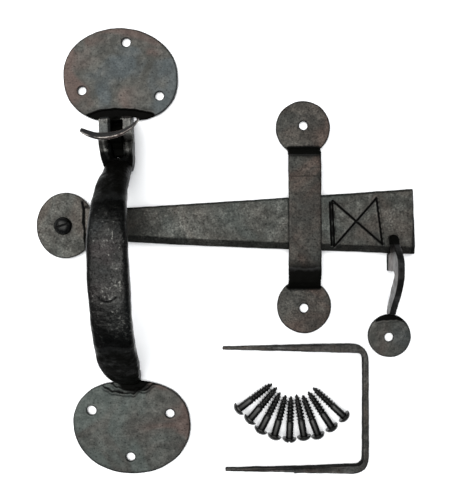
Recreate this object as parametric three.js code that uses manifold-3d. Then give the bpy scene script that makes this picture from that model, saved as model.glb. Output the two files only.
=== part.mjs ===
// Hand-forged thumb latch set (bean-end Suffolk latch), laid out flat.
// Units are millimetres.  z = 0 is the face of the door: the backs of all the
// plates lie on it, and +z points out of the door.  The origin is the middle of
// the back of the upper bean plate, and the handle hangs from it towards -y.

import * as THREE from "three";
import { mergeVertices } from "three/addons/utils/BufferGeometryUtils.js";
import Module from "manifold-3d";

const wasm = await Module();
wasm.setup();

// ---------------------------------------------------------------- dimensions

const GAP = 0.3;
const SCREW_HOLE_RADIUS = 2.8;
const HANDLE_LEAN = THREE.MathUtils.degToRad(1.75);

const BEAN = {
  thickness: 2.8,
  segments: 72,
  dentSpread: 11,
};
const UPPER_PLATE = {
  halfWidth: 35.9,
  outer: 29,
  inner: 30.2,
  outerPower: 1.96,
  innerPower: 2.5,
  skew: -0.033,
  dent: 1.5,
  holes: [[4.3, 19.6], [-24.2, -9.8], [24.2, -14.6]],
};
const LOWER_PLATE = {
  x: 0.6,
  y: -219.3,
  halfWidth: 36.6,
  outer: 31,
  inner: 27.2,
  outerPower: 2.1,
  innerPower: 2.3,
  skew: -0.045,
  dent: 0.8,
  holes: [[25, -9.2], [-24.1, -5.7], [1.3, 20.7]],
  lug: [-6.2, 8.2, 33.4],
};

const FORK = {
  x: -0.9,
  halfWidth: 9.7,
  backHalfWidth: 8.3,
  top: -30.8,
  bottom: -61,
  front: 19,
  neckTop: -27.4,
  neckFront: 4,
  footHalfWidth: 7.8,
  cornerRadius: 3,
  cornerRun: 7.5,
  shoulder: [0.6, 1.2, 3],
  slotHalfWidth: 3.6,
  slotTop: -32.7,
  slotBottom: -54.8,
};
const PIN = { x: -1.5, y: -44.2, z: 13.5, radius: 2.2, bore: 2.5, halfLength: 10.6 };

// Middle line of the grip in the side view, as [y, z].
const GRIP_PATH = [
  [-55.5, 4], [-64.5, 17], [-73, 30], [-83, 39.8], [-96, 46.6], [-113, 49.6],
  [-132, 48.8], [-149, 45.4], [-162, 39.8], [-173, 31.6], [-181, 22], [-186.5, 12], [-193.5, -4],
];
const GRIP = {
  rings: 34,
  sides: 16,
  topHalfWidth: 7.9,
  bellyHalfWidth: 11.5,
  footHalfWidth: 7.6,
  topHalfThickness: 4.3,
  bellyHalfThickness: 4.8,
  bellyAt: 0.47,
  footFrom: 0.8,
  topX: -1.1,
  footX: -0.4,
  squareness: 2.6,
};

const LEVER = {
  halfWidth: 3.1,
  bossRadius: 5.6,
  armFront: 26,
  tailEnd: -50,
  tailTipHalf: 2.4,
  tailRootAbove: 5.4,
  tailRootBelow: 9.2,
  tailDrop: 4,
  tailSteps: 8,
  armClearance: 1.2,
  armRun: 4,
};
const PRESS = {
  root: 19.6,
  lip: 41,
  tipSetBack: 3.2,
  rootHalfWidth: 3,
  halfWidth: 16.7,
  dishRadius: 22.5,
  rise: 3,
  droop: 7.1,
  halfThickness: 0.85,
  roll: THREE.MathUtils.degToRad(8),
  across: 16,
  along: 10,
};

const BAR = {
  pivotX: -35.2,
  pivotY: -95.3,
  back: 0.4,
  front: 6.2,
  shoulder: 14,
  end: 218.1,
  endSlant: 0.04,
  upperAtZero: 9,
  upperSlope: 0.064,
  lowerAtZero: -8.1,
  lowerSlope: -0.043,
  upperBevel: 1.5,
  lowerBevel: 4.4,
  bevelDrop: 2.2,
  upperSag: 0.35,
  lowerBulge: 0.6,
  steps: 8,
  discX: 1.4,
  discY: 0.3,
  discHalfX: 18.3,
  discHalfY: 20.5,
  discFront: 3.9,
  boreRadius: 3.1,
};
const PIVOT_SCREW = {
  underHead: 26,
  headRadius: 5.6,
  headHeight: 3.6,
  shankRadius: 2.7,
  point: [[2.4, 6]],
  neck: 8,
  slotWidth: 1.5,
  slotDepth: 1.7,
  slotTurn: THREE.MathUtils.degToRad(18),
  sides: 20,
};

const GUIDE = {
  x: 114.8,
  strapHalfWidth: 10.15,
  middleY: -89.6,
  lean: THREE.MathUtils.degToRad(0.36),
  discRadius: 17,
  discY: [-33.8, -145.5],
  holeY: [-32.4, -146.8],
  holeX: [0.2, 0],
  discThickness: 2.6,
  strapBack: 6.9,
  strapFront: 9.7,
  footY: [-47.2, -133.6],
  kneeY: [-51.4, -129.4],
  rootRun: 8,
  footRound: 1.4,
  kneeRound: [1.8, 0.8],
};

const CATCH = {
  discX: 168.7,
  discY: -164.1,
  discRadius: 13.45,
  discThickness: 2.6,
  holeX: 168.4,
  holeY: -164.9,
  hookLeft: 167.3,
  hookThickness: 3.9,
  hookFoot: -150.3,
  shelf: -112.4,
  shelfEnd: -123.4,
};

const STAPLE = {
  tipX: 64,
  outerX: 155.1,
  top: -168.9,
  bottom: -249.4,
  bridge: 3.5,
  topLeg: 5.5,
  bottomLeg: 4.9,
  tip: 2,
  topTipY: -171.8,
  bottomTipY: -247.8,
  outerRadius: 11,
  innerRadius: 4.5,
  stagger: 1.8,
  outerTaperFrom: 25,
  innerTaperFrom: 28,
  legSag: [0.3, 0.7, 1, 0.1],
  drawnLength: 50,
  height: 5,
  tipHeight: 0.45,
};

const WOOD_SCREW = {
  underHead: 25.4,
  headRadius: 4.15,
  headHeight: 3,
  shankRadius: 2.15,
  point: [[0.35, 0.1], [2.05, 6.5]],
  neck: 16.5,
  slotWidth: 1.1,
  slotDepth: 1.5,
  sides: 12,
  tipLift: 1.45,
  tilt: THREE.MathUtils.degToRad(6.2),
};
// Where each loose screw lies: [tip x, tip y, bearing of the head in degrees, roll of the slot].
const FAN = [
  [95.2, -194.2, 215.6, 20], [98.2, -196.4, 228.4, 75], [100.3, -199.6, 241.2, 130],
  [103.7, -201.2, 253.5, 10], [107, -201.9, 267.1, 95], [110.4, -200.9, 279.8, 150],
  [114.3, -201.3, 290.8, 40], [117.7, -199.1, 303.8, 110], [120.7, -196.6, 317.8, 165],
];

// ------------------------------------------------------------------- helpers

/** A closed three.js geometry as a solid that can be joined and cut. */
function toSolid(geometry) {
  const bare = geometry.clone();
  bare.deleteAttribute("normal");
  bare.deleteAttribute("uv");
  const merged = mergeVertices(bare, 1e-4);
  const index = Array.from(merged.index.array);
  const kept = [];
  for (let i = 0; i < index.length; i += 3) {
    const [a, b, c] = index.slice(i, i + 3);
    if (a !== b && b !== c && c !== a) {
      kept.push(a, b, c);
    }
  }
  const vertProperties = Float32Array.from(merged.attributes.position.array);
  const triVerts = Uint32Array.from(kept);
  return new wasm.Manifold(new wasm.Mesh({ numProp: 3, vertProperties, triVerts }));
}

/** A solid back as a three.js geometry. */
function toGeometry(solid) {
  const mesh = solid.getMesh();
  const geometry = new THREE.BufferGeometry();
  geometry.setAttribute("position", new THREE.BufferAttribute(mesh.vertProperties, 3));
  geometry.setIndex(new THREE.BufferAttribute(mesh.triVerts, 1));
  geometry.computeVertexNormals();
  return geometry;
}

/** A box as a solid, from its lowest corner to its highest corner. */
function block(x0, y0, z0, x1, y1, z1) {
  const geometry = new THREE.BoxGeometry(x1 - x0, y1 - y0, z1 - z0);
  geometry.translate((x0 + x1) / 2, (y0 + y1) / 2, (z0 + z1) / 2);
  return toSolid(geometry);
}

/** A side profile drawn as [y, z] points, made into a plate from x0 to x1. */
function sidePlate(points, x0, x1) {
  const outline = points.map(([y, z]) => new THREE.Vector2(y, z));
  const geometry = new THREE.ExtrudeGeometry(new THREE.Shape(outline), {
    depth: x1 - x0,
    bevelEnabled: false,
  });
  // Profile x, y and depth become y, z and x.
  const turn = new THREE.Matrix4().set(0, 0, 1, x0, 1, 0, 0, 0, 0, 1, 0, 0, 0, 0, 0, 1);
  geometry.applyMatrix4(turn);
  return geometry;
}

/** An upright cylinder on the line (x, y) from z0 to z1. */
function post(x, y, radius, z0, z1, sides = 24) {
  const geometry = new THREE.CylinderGeometry(radius, radius, z1 - z0, sides);
  geometry.rotateX(Math.PI / 2);
  geometry.translate(x, y, (z0 + z1) / 2);
  return geometry;
}

/** Points on a smooth curve through [y, z] stations. */
function smooth(stations, divisions) {
  const curve = new THREE.SplineCurve(stations.map(([y, z]) => new THREE.Vector2(y, z)));
  return curve.getPoints(divisions).map((p) => [p.x, p.y]);
}

/** Forged iron: colour, roughness and metalness. */
function iron(colour, roughness, metalness) {
  return new THREE.MeshStandardMaterial({ color: colour, roughness, metalness });
}

const plateIron = () => iron(0x3d3b39, 0.62, 0.8);
const gripIron = () => iron(0x232325, 0.48, 0.85);
const wornIron = () => iron(0x5c544e, 0.5, 0.85);
const barIron = () => iron(0x343433, 0.58, 0.8);
const guideIron = () => iron(0x2f2b28, 0.55, 0.8);
const screwSteel = () => iron(0x17171a, 0.45, 0.85);

function named(name, geometry, material) {
  const mesh = new THREE.Mesh(geometry, material);
  mesh.name = name;
  return mesh;
}

// -------------------------------------------------------------------- handle

/** Kidney-shaped plate: round away from the grip (+y), flatter towards it (-y). */
function beanPlate(plate) {
  const outline = [];
  for (let i = 0; i < BEAN.segments; i += 1) {
    const angle = (i / BEAN.segments) * 2 * Math.PI;
    const c = Math.cos(angle);
    const s = Math.sin(angle);
    const power = s > 0 ? plate.outerPower : plate.innerPower;
    const reach = s > 0 ? plate.outer : plate.inner;
    const x = plate.halfWidth * Math.sign(c) * Math.abs(c) ** (2 / power);
    const y = reach * Math.sign(s) * Math.abs(s) ** (2 / power);
    const dent = s < 0 ? plate.dent * Math.exp(-((x / BEAN.dentSpread) ** 2)) : 0;
    outline.push(new THREE.Vector2(x + plate.skew * y, y + dent));
  }
  const shape = new THREE.Shape(outline);
  for (const [x, y] of plate.holes) {
    shape.holes.push(new THREE.Path().absarc(x, y, SCREW_HOLE_RADIUS, 0, 2 * Math.PI, true));
  }
  return new THREE.ExtrudeGeometry(shape, {
    depth: BEAN.thickness,
    bevelEnabled: false,
    curveSegments: 20,
  });
}

function upperPlate() {
  const neck = FORK.halfWidth + GAP;
  const seat = block(
    FORK.x - neck, UPPER_PLATE.inner * -2, -1,
    FORK.x + neck, FORK.neckTop + GAP, BEAN.thickness + 1,
  );
  const geometry = toGeometry(toSolid(beanPlate(UPPER_PLATE)).subtract(seat));
  return named("upper_plate", geometry, plateIron());
}

/** The lower plate, with a short lug under the grip's foot that the weld is made on. */
function lowerPlate() {
  const [left, right, reach] = LOWER_PLATE.lug;
  const lug = block(left, -reach, 0, right, 0, BEAN.thickness);
  const geometry = toGeometry(toSolid(beanPlate(LOWER_PLATE)).add(lug));
  const mesh = named("lower_plate", geometry, plateIron());
  mesh.position.set(LOWER_PLATE.x, LOWER_PLATE.y, 0);
  mesh.rotation.z = Math.PI;
  return mesh;
}

/** Two cheeks with a slot between them, narrower at the back, bored across for the pin. */
function thumbFork() {
  const [shoulderAbove, shoulderBelow, shoulderDrop] = FORK.shoulder;
  const side = [
    [FORK.neckTop, 0], [FORK.neckTop, FORK.neckFront],
    [FORK.top + shoulderAbove, FORK.front - shoulderDrop], [FORK.top - shoulderBelow, FORK.front],
    [FORK.bottom, FORK.front], [FORK.bottom, 0],
  ];
  const w = FORK.halfWidth;
  const profile = toSolid(sidePlate(side, -w, w));
  const plan = new THREE.Shape();
  const cornerFrom = FORK.bottom + FORK.cornerRun;
  const cornerBend = FORK.bottom + FORK.cornerRadius;
  plan.moveTo(-w, 0);
  plan.lineTo(-w, cornerFrom);
  plan.quadraticCurveTo(-w, cornerBend, -FORK.footHalfWidth, FORK.bottom);
  plan.lineTo(FORK.footHalfWidth, FORK.bottom);
  plan.quadraticCurveTo(w, cornerBend, w, cornerFrom);
  plan.lineTo(w, 0);
  plan.closePath();
  const outline = new THREE.ExtrudeGeometry(plan, {
    depth: FORK.front,
    bevelEnabled: false,
    curveSegments: 6,
  });
  const position = outline.attributes.position;
  for (let i = 0; i < position.count; i += 1) {
    const back = 1 - position.getZ(i) / FORK.front;
    position.setX(i, position.getX(i) * THREE.MathUtils.lerp(1, FORK.backHalfWidth / w, back));
  }
  const slot = block(
    -FORK.slotHalfWidth, FORK.slotBottom, -2,
    FORK.slotHalfWidth, FORK.slotTop, FORK.front + 2,
  );
  const bore = toSolid(crossPin(PIN.bore, 2 * w));
  const body = profile.intersect(toSolid(outline)).translate([FORK.x, 0, 0]);
  return named("thumb_fork", toGeometry(body.subtract(slot).subtract(bore)), gripIron());
}

/** A cylinder along x on the line of the lever's pin. */
function crossPin(radius, halfLength, x = 0) {
  const geometry = new THREE.CylinderGeometry(radius, radius, 2 * halfLength, 24);
  geometry.rotateZ(Math.PI / 2);
  geometry.translate(x, PIN.y, PIN.z);
  return geometry;
}

function thumbPin() {
  return named("thumb_pin", crossPin(PIN.radius, PIN.halfLength, PIN.x), gripIron());
}

/** Half width and half thickness of the grip at t, from 0 at the fork to 1 at the foot. */
function gripSection(t) {
  const up = THREE.MathUtils.smoothstep(t, 0, GRIP.bellyAt);
  const down = THREE.MathUtils.smoothstep(t, GRIP.footFrom, 1);
  const { topHalfThickness, bellyHalfThickness } = GRIP;
  const belly = THREE.MathUtils.lerp(GRIP.topHalfWidth, GRIP.bellyHalfWidth, up);
  return {
    halfWidth: THREE.MathUtils.lerp(belly, GRIP.footHalfWidth, down),
    halfThickness: THREE.MathUtils.lerp(topHalfThickness, bellyHalfThickness, up * (1 - down)),
  };
}

/** The bow: a rounded flat bar swept along the side-view curve, trimmed at the fork and the plate. */
function handleGrip() {
  const path = new THREE.CatmullRomCurve3(GRIP_PATH.map(([y, z]) => new THREE.Vector3(0, y, z)));
  const geometry = new THREE.CylinderGeometry(1, 1, 1, GRIP.sides, GRIP.rings);
  const position = geometry.attributes.position;
  const point = new THREE.Vector3();
  for (let i = 0; i < position.count; i += 1) {
    point.fromBufferAttribute(position, i);
    const t = THREE.MathUtils.clamp(0.5 - point.y, 0, 1);
    const centre = path.getPointAt(t);
    const along = path.getTangentAt(t);
    const { halfWidth, halfThickness } = gripSection(t);
    const power = 2 / GRIP.squareness;
    const across = halfWidth * Math.sign(point.x) * Math.abs(point.x) ** power;
    const out = halfThickness * Math.sign(point.z) * Math.abs(point.z) ** power;
    const x = across + THREE.MathUtils.lerp(GRIP.topX, GRIP.footX, t);
    position.setXYZ(i, x, centre.y + out * along.z, centre.z - out * along.y);
  }
  const far = 400;
  const aboveFork = block(-far, FORK.bottom - GAP, -far, far, far, far);
  const belowPlate = block(-far, -far, -far, far, far, BEAN.thickness + GAP);
  const solid = toSolid(geometry).subtract(aboveFork).subtract(belowPlate);
  return named("handle_grip", toGeometry(solid), gripIron());
}

/** Height of the middle of the press above the pin line, at distance s (0 root to 1 lip). */
function pressCentre(s) {
  return PRESS.rise - PRESS.droop * s ** 1.7;
}

/** The dished thumb piece, a leaf that widens out of the slot and droops to its lip. */
function thumbPress() {
  const geometry = new THREE.BoxGeometry(1, 1, 1, PRESS.across, 1, PRESS.along);
  const position = geometry.attributes.position;
  for (let i = 0; i < position.count; i += 1) {
    const u = 2 * position.getX(i);
    const s = position.getZ(i) + 0.5;
    const grow = THREE.MathUtils.smoothstep(s, 0.08, 0.78);
    const halfWidth = THREE.MathUtils.lerp(PRESS.rootHalfWidth, PRESS.halfWidth, grow);
    const across = u * halfWidth;
    const thin = 1 - 0.45 * grow * u * u;
    const dish = PRESS.dishRadius - Math.sqrt(PRESS.dishRadius ** 2 - across ** 2);
    const y = pressCentre(s) + dish + 2 * position.getY(i) * PRESS.halfThickness * thin;
    const z = THREE.MathUtils.lerp(PRESS.root, PRESS.lip - PRESS.tipSetBack * u * u, s);
    const c = Math.cos(PRESS.roll);
    const n = Math.sin(PRESS.roll);
    position.setXYZ(i, across * c - y * n, PIN.y + across * n + y * c, z);
  }
  return named("thumb_press", geometry, wornIron());
}

/** The lever on the pin: boss, short arm under the press and a tail through the door. */
function thumbLever() {
  const under = (z) => {
    const s = Math.max(0, (z - PRESS.root) / (PRESS.lip - PRESS.root));
    return PIN.y + pressCentre(s) - PRESS.halfThickness - LEVER.armClearance;
  };
  const tail = new THREE.QuadraticBezierCurve(
    new THREE.Vector2(PIN.y, PIN.z),
    new THREE.Vector2(PIN.y, -20),
    new THREE.Vector2(PIN.y - LEVER.tailDrop, LEVER.tailEnd),
  ).getPoints(LEVER.tailSteps);
  const half = (root, k) => THREE.MathUtils.lerp(root, LEVER.tailTipHalf, k / LEVER.tailSteps);
  const upper = tail.map((p, k) => [p.x + half(LEVER.tailRootAbove, k), p.y]);
  const lower = tail.map((p, k) => [p.x - half(LEVER.tailRootBelow, k), p.y]);
  const neck = PIN.z + 3;
  const elbow = PRESS.root + LEVER.armRun;
  const front = LEVER.armFront;
  const arm = [
    [PIN.y - 2.6, neck], [PIN.y - 2.2, front - 1], [under(front) - 0.6, front],
    [under(front), front], [under(elbow), elbow], [under(PRESS.root), PRESS.root], [PIN.y + 1.1, neck],
  ];
  const side = [...lower.slice(0, 1), ...arm, ...upper, ...lower.slice(1).reverse()];
  const bar = toSolid(sidePlate(side, -LEVER.halfWidth, LEVER.halfWidth));
  const boss = toSolid(crossPin(LEVER.bossRadius, LEVER.halfWidth));
  const bore = toSolid(crossPin(PIN.bore, LEVER.halfWidth + 2));
  return named("thumb_lever", toGeometry(bar.add(boss).subtract(bore)), gripIron());
}

// ----------------------------------------------------------------- latch bar

/** Tapered bar with bevelled front edges, its thin pivot disc at the left end. */
function latchBar() {
  const section = new THREE.Shape([
    new THREE.Vector2(0, 0), new THREE.Vector2(1, 0), new THREE.Vector2(2, 0),
    new THREE.Vector2(3, 0), new THREE.Vector2(3, 1), new THREE.Vector2(2, 2),
    new THREE.Vector2(1, 2), new THREE.Vector2(0, 1),
  ]);
  const geometry = new THREE.ExtrudeGeometry(section, { depth: 1, steps: BAR.steps, bevelEnabled: false });
  const levels = [BAR.back, BAR.front - BAR.bevelDrop, BAR.front];
  const position = geometry.attributes.position;
  for (let i = 0; i < position.count; i += 1) {
    const column = Math.round(position.getX(i));
    const level = Math.round(position.getY(i));
    const k = position.getZ(i);
    const x0 = THREE.MathUtils.lerp(BAR.shoulder, BAR.end, k);
    const bow = Math.sin(Math.PI * k);
    const upper = BAR.upperAtZero + BAR.upperSlope * x0 - BAR.upperSag * bow;
    const lower = BAR.lowerAtZero + BAR.lowerSlope * x0 - BAR.lowerBulge * bow;
    const y = [lower, lower + BAR.lowerBevel, upper - BAR.upperBevel, upper][column];
    const z = column === 3 && level === 1 ? BAR.front - BAR.upperBevel / 2 : levels[level];
    position.setXYZ(i, x0 - k * BAR.endSlant * y, y, z);
  }
  const disc = new THREE.CylinderGeometry(1, 1, BAR.discFront - BAR.back, 40);
  disc.rotateX(Math.PI / 2);
  disc.scale(BAR.discHalfX, BAR.discHalfY, 1);
  disc.translate(BAR.discX, BAR.discY, (BAR.discFront + BAR.back) / 2);
  const bore = toSolid(post(0, 0, BAR.boreRadius, -2, 9));
  const solid = toSolid(geometry).add(toSolid(disc)).subtract(bore);
  const mesh = named("latch_bar", toGeometry(solid), barIron());
  mesh.position.set(BAR.pivotX, BAR.pivotY, 0);
  return mesh;
}

const DOME_ANGLES = [8, 35, 62];

/** A slotted round-head screw standing on its point at the origin, its axis along +y. */
function screwGeometry(screw) {
  const { underHead, headRadius, headHeight, shankRadius, slotWidth, slotDepth } = screw;
  const profile = [new THREE.Vector2(0, 0)];
  for (const [radius, height] of screw.point) {
    profile.push(new THREE.Vector2(radius, height));
  }
  profile.push(new THREE.Vector2(shankRadius, screw.neck));
  profile.push(new THREE.Vector2(shankRadius, underHead));
  profile.push(new THREE.Vector2(headRadius, underHead));
  for (const angle of DOME_ANGLES) {
    const a = THREE.MathUtils.degToRad(angle);
    profile.push(new THREE.Vector2(headRadius * Math.cos(a), underHead + headHeight * Math.sin(a)));
  }
  const top = underHead + headHeight;
  profile.push(new THREE.Vector2(0, top));
  const body = toSolid(new THREE.LatheGeometry(profile, screw.sides));
  const reach = headRadius + 1;
  const slot = block(-reach, top - slotDepth, -slotWidth / 2, reach, top + 1, slotWidth / 2);
  return toGeometry(body.subtract(slot));
}

function pivotScrew() {
  const mesh = named("pivot_screw", screwGeometry(PIVOT_SCREW), screwSteel());
  mesh.rotation.set(Math.PI / 2, PIVOT_SCREW.slotTurn, 0, "XYZ");
  mesh.position.set(BAR.pivotX, BAR.pivotY, BAR.discFront + GAP - PIVOT_SCREW.underHead);
  return mesh;
}

// ------------------------------------------------------------ guide and catch

/** Strap over the bar with a round screw plate at each end, forged in one piece. */
function barGuide() {
  const [topFoot, lowFoot] = GUIDE.footY;
  const [topKnee, lowKnee] = GUIDE.kneeY;
  const t = GUIDE.discThickness;
  const root = GUIDE.rootRun;
  const [kneeOut, kneeDown] = GUIDE.kneeRound;
  const side = [
    [topFoot + root, 0], [topFoot, 0], [topKnee, GUIDE.strapBack], [lowKnee, GUIDE.strapBack],
    [lowFoot, 0], [lowFoot - root, 0], [lowFoot - root, t], [lowFoot - GUIDE.footRound, t],
    [lowKnee - kneeOut, GUIDE.strapFront - kneeDown], [lowKnee, GUIDE.strapFront],
    [topKnee, GUIDE.strapFront], [topKnee + kneeOut, GUIDE.strapFront - kneeDown],
    [topFoot + GUIDE.footRound, t], [topFoot + root, t],
  ];
  const about = side.map(([y, z]) => [y - GUIDE.middleY, z]);
  let solid = toSolid(sidePlate(about, -GUIDE.strapHalfWidth, GUIDE.strapHalfWidth));
  for (const y of GUIDE.discY) {
    solid = solid.add(toSolid(post(0, y - GUIDE.middleY, GUIDE.discRadius, 0, t, 40)));
  }
  GUIDE.holeY.forEach((y, k) => {
    const hole = post(GUIDE.holeX[k], y - GUIDE.middleY, SCREW_HOLE_RADIUS, -1, t + 1, 20);
    solid = solid.subtract(toSolid(hole));
  });
  const mesh = named("bar_guide", toGeometry(solid), guideIron());
  mesh.position.set(GUIDE.x, GUIDE.middleY, 0);
  mesh.rotation.z = GUIDE.lean;
  return mesh;
}

function catchPlate() {
  const front = CATCH.discThickness;
  const disc = toSolid(post(CATCH.discX, CATCH.discY, CATCH.discRadius, 0, front, 36));
  const hole = toSolid(post(CATCH.holeX, CATCH.holeY, SCREW_HOLE_RADIUS, -1, front + 1, 20));
  return named("catch_plate", toGeometry(disc.subtract(hole)), plateIron());
}

/** Strip on edge: a bowed stem, the shelf that the bar drops on and a nose over the bar. */
function catchHook() {
  const nose = [-100.7, 8.2];
  const front = smooth([
    nose, [-102, 10.4], [-106.5, 13.9], [-111, 19], [-115.5, 22.8], [-121, 24.1],
    [-128.5, 22.9], [-136.4, 18.4], [-143.2, 12], [CATCH.hookFoot, 6.4],
  ], 20);
  const back = smooth([
    [CATCH.hookFoot, 0], [-146.5, 1], [-142, 4], [-136, 8], [-130.5, 12], [-127, 15.2], [-124.8, 16],
  ], 10);
  const shelf = [
    [CATCH.shelfEnd, 14], [CATCH.shelfEnd, 0], [CATCH.shelf, 0], [CATCH.shelf, 7.2], [-103, 7.1],
  ];
  const right = CATCH.hookLeft + CATCH.hookThickness;
  const geometry = sidePlate([...front, ...back, ...shelf], CATCH.hookLeft, right);
  return named("catch_hook", geometry, guideIron());
}

// --------------------------------------------------------- staple and screws

/** Square bar bent to a U, with both legs drawn down to points. */
function driveInStaple() {
  const s = STAPLE;
  const inner = s.outerX - s.bridge;
  const bend = s.outerX - s.outerRadius;
  const innerBend = inner - s.innerRadius;
  const topInner = s.top - s.topLeg;
  const bottomInner = s.bottom + s.bottomLeg;
  const outerTaper = bend - s.outerTaperFrom;
  const innerTaper = innerBend - s.innerTaperFrom;
  const lowerTip = s.tipX + s.stagger;
  const [topOuterSag, topInnerSag, bottomInnerSag, bottomOuterSag] = s.legSag;
  const shape = new THREE.Shape();
  shape.moveTo(s.tipX, s.topTipY + s.tip / 2);
  shape.lineTo(outerTaper, s.top - topOuterSag);
  shape.lineTo(bend, s.top);
  shape.quadraticCurveTo(s.outerX, s.top, s.outerX, s.top - s.outerRadius);
  shape.lineTo(s.outerX, s.bottom + s.outerRadius);
  shape.quadraticCurveTo(s.outerX, s.bottom, bend, s.bottom);
  shape.lineTo(outerTaper, s.bottom + bottomOuterSag);
  shape.lineTo(lowerTip, s.bottomTipY - s.tip / 2);
  shape.lineTo(lowerTip, s.bottomTipY + s.tip / 2);
  shape.lineTo(innerTaper, bottomInner - bottomInnerSag);
  shape.lineTo(innerBend, bottomInner);
  shape.quadraticCurveTo(inner, bottomInner, inner, bottomInner + s.innerRadius);
  shape.lineTo(inner, topInner - s.innerRadius);
  shape.quadraticCurveTo(inner, topInner, innerBend, topInner);
  shape.lineTo(innerTaper, topInner + topInnerSag);
  shape.lineTo(s.tipX, s.topTipY - s.tip / 2);
  shape.closePath();
  const geometry = new THREE.ExtrudeGeometry(shape, {
    depth: 1,
    bevelEnabled: false,
    curveSegments: 6,
  });
  const position = geometry.attributes.position;
  for (let i = 0; i < position.count; i += 1) {
    const run = THREE.MathUtils.clamp((position.getX(i) - s.tipX) / s.drawnLength, 0, 1);
    const height = s.height * THREE.MathUtils.lerp(s.tipHeight, 1, run);
    position.setZ(i, position.getZ(i) * height);
  }
  return named("drive_in_staple", geometry, gripIron());
}

/** One loose screw lying on the edge of its head and the start of its thread. */
function woodScrew(number, [x, y, bearing, roll]) {
  const geometry = screwGeometry(WOOD_SCREW);
  geometry.rotateY(THREE.MathUtils.degToRad(roll));
  const a = THREE.MathUtils.degToRad(bearing);
  const flat = Math.cos(WOOD_SCREW.tilt);
  const axis = new THREE.Vector3(Math.cos(a) * flat, Math.sin(a) * flat, Math.sin(WOOD_SCREW.tilt));
  const mesh = named(`wood_screw_${number}`, geometry, screwSteel());
  mesh.quaternion.setFromUnitVectors(new THREE.Vector3(0, 1, 0), axis);
  mesh.position.set(x, y, WOOD_SCREW.tipLift);
  return mesh;
}

// ------------------------------------------------------------------ assembly

const lever = new THREE.Group();
lever.add(thumbPress(), thumbLever());

const handle = new THREE.Group();
handle.add(upperPlate(), thumbFork(), thumbPin(), lever, handleGrip(), lowerPlate());
handle.rotation.z = HANDLE_LEAN;

const latch = new THREE.Group();
latch.add(handle, latchBar(), pivotScrew(), barGuide(), catchPlate(), catchHook(), driveInStaple());
FAN.forEach((place, k) => latch.add(woodScrew(k + 1, place)));

export default latch;
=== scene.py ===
"""Looks for a hand-forged thumb latch set, laid out flat on a pale floor.

Sizes are millimetres in the dataclasses and are turned to metres when a piece is finished.
The handle's pieces are modelled upright in the handle's own frame and then leaned with it.
"""

import logging
import math
from dataclasses import dataclass, field
from enum import Enum
from typing import Callable, Iterable, Optional, Sequence

import bmesh
import bpy
from mathutils import Matrix, Vector, noise


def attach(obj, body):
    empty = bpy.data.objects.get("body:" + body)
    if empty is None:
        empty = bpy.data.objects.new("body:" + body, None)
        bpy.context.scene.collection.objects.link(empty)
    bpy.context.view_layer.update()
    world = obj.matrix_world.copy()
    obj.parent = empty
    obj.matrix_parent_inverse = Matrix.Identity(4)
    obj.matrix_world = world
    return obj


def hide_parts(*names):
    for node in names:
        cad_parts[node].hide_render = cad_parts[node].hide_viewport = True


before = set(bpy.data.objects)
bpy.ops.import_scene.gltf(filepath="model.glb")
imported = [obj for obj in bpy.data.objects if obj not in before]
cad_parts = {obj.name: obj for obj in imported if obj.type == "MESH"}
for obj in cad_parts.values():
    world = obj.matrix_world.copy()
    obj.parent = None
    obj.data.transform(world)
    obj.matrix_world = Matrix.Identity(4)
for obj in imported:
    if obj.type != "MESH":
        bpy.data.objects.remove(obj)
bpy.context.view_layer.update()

LOG = logging.getLogger("thumb_latch")
MM = 0.001
HANDLE_LEAN = math.radians(1.75)
PLATE_THICKNESS = 2.8
SCREW_HOLE_RADIUS = 2.8
FRONT_ONLY = 0.3
FIXED = "fixed_set"
LEVER = "thumb_lever_body"
BAR = "latch_bar_body"

Point = tuple[float, float, float]
Flat = tuple[float, float]
Line = tuple[Flat, ...]
Span = tuple[float, float]


# ---------------------------------------------------------------- colour and nodes


def linear(hex_colour: str) -> tuple[float, float, float, float]:
    """An sRGB hex colour as linear RGBA.

    Args:
        hex_colour: Six hex digits, with or without a leading #.

    Returns:
        The colour in linear light, with full alpha.
    """
    digits = hex_colour.lstrip("#")
    channels = [int(digits[i:i + 2], 16) / 255 for i in (0, 2, 4)]
    light = [c / 12.92 if c <= 0.04045 else ((c + 0.055) / 1.055) ** 2.4 for c in channels]
    return (light[0], light[1], light[2], 1.0)


def add_node(tree: bpy.types.NodeTree, kind: str, inputs: Optional[dict] = None,
             **settings: object) -> bpy.types.Node:
    """Adds one shader node, sets it up and links it.

    Args:
        tree: The material's node tree.
        kind: The node's type, such as ShaderNodeTexNoise.
        inputs: Socket name or number to a value, or to an output socket to link.
        settings: Attributes of the node itself.

    Returns:
        The new node.
    """
    node = tree.nodes.new(kind)
    for name, value in settings.items():
        setattr(node, name, value)
    for socket, value in (inputs or {}).items():
        if isinstance(value, bpy.types.NodeSocket):
            tree.links.new(value, node.inputs[socket])
        else:
            node.inputs[socket].default_value = value
    return node


class Side(Enum):
    """On which side of a lap the iron is set down: towards +y or towards -y."""

    ABOVE = 1
    BELOW = -1


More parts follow.
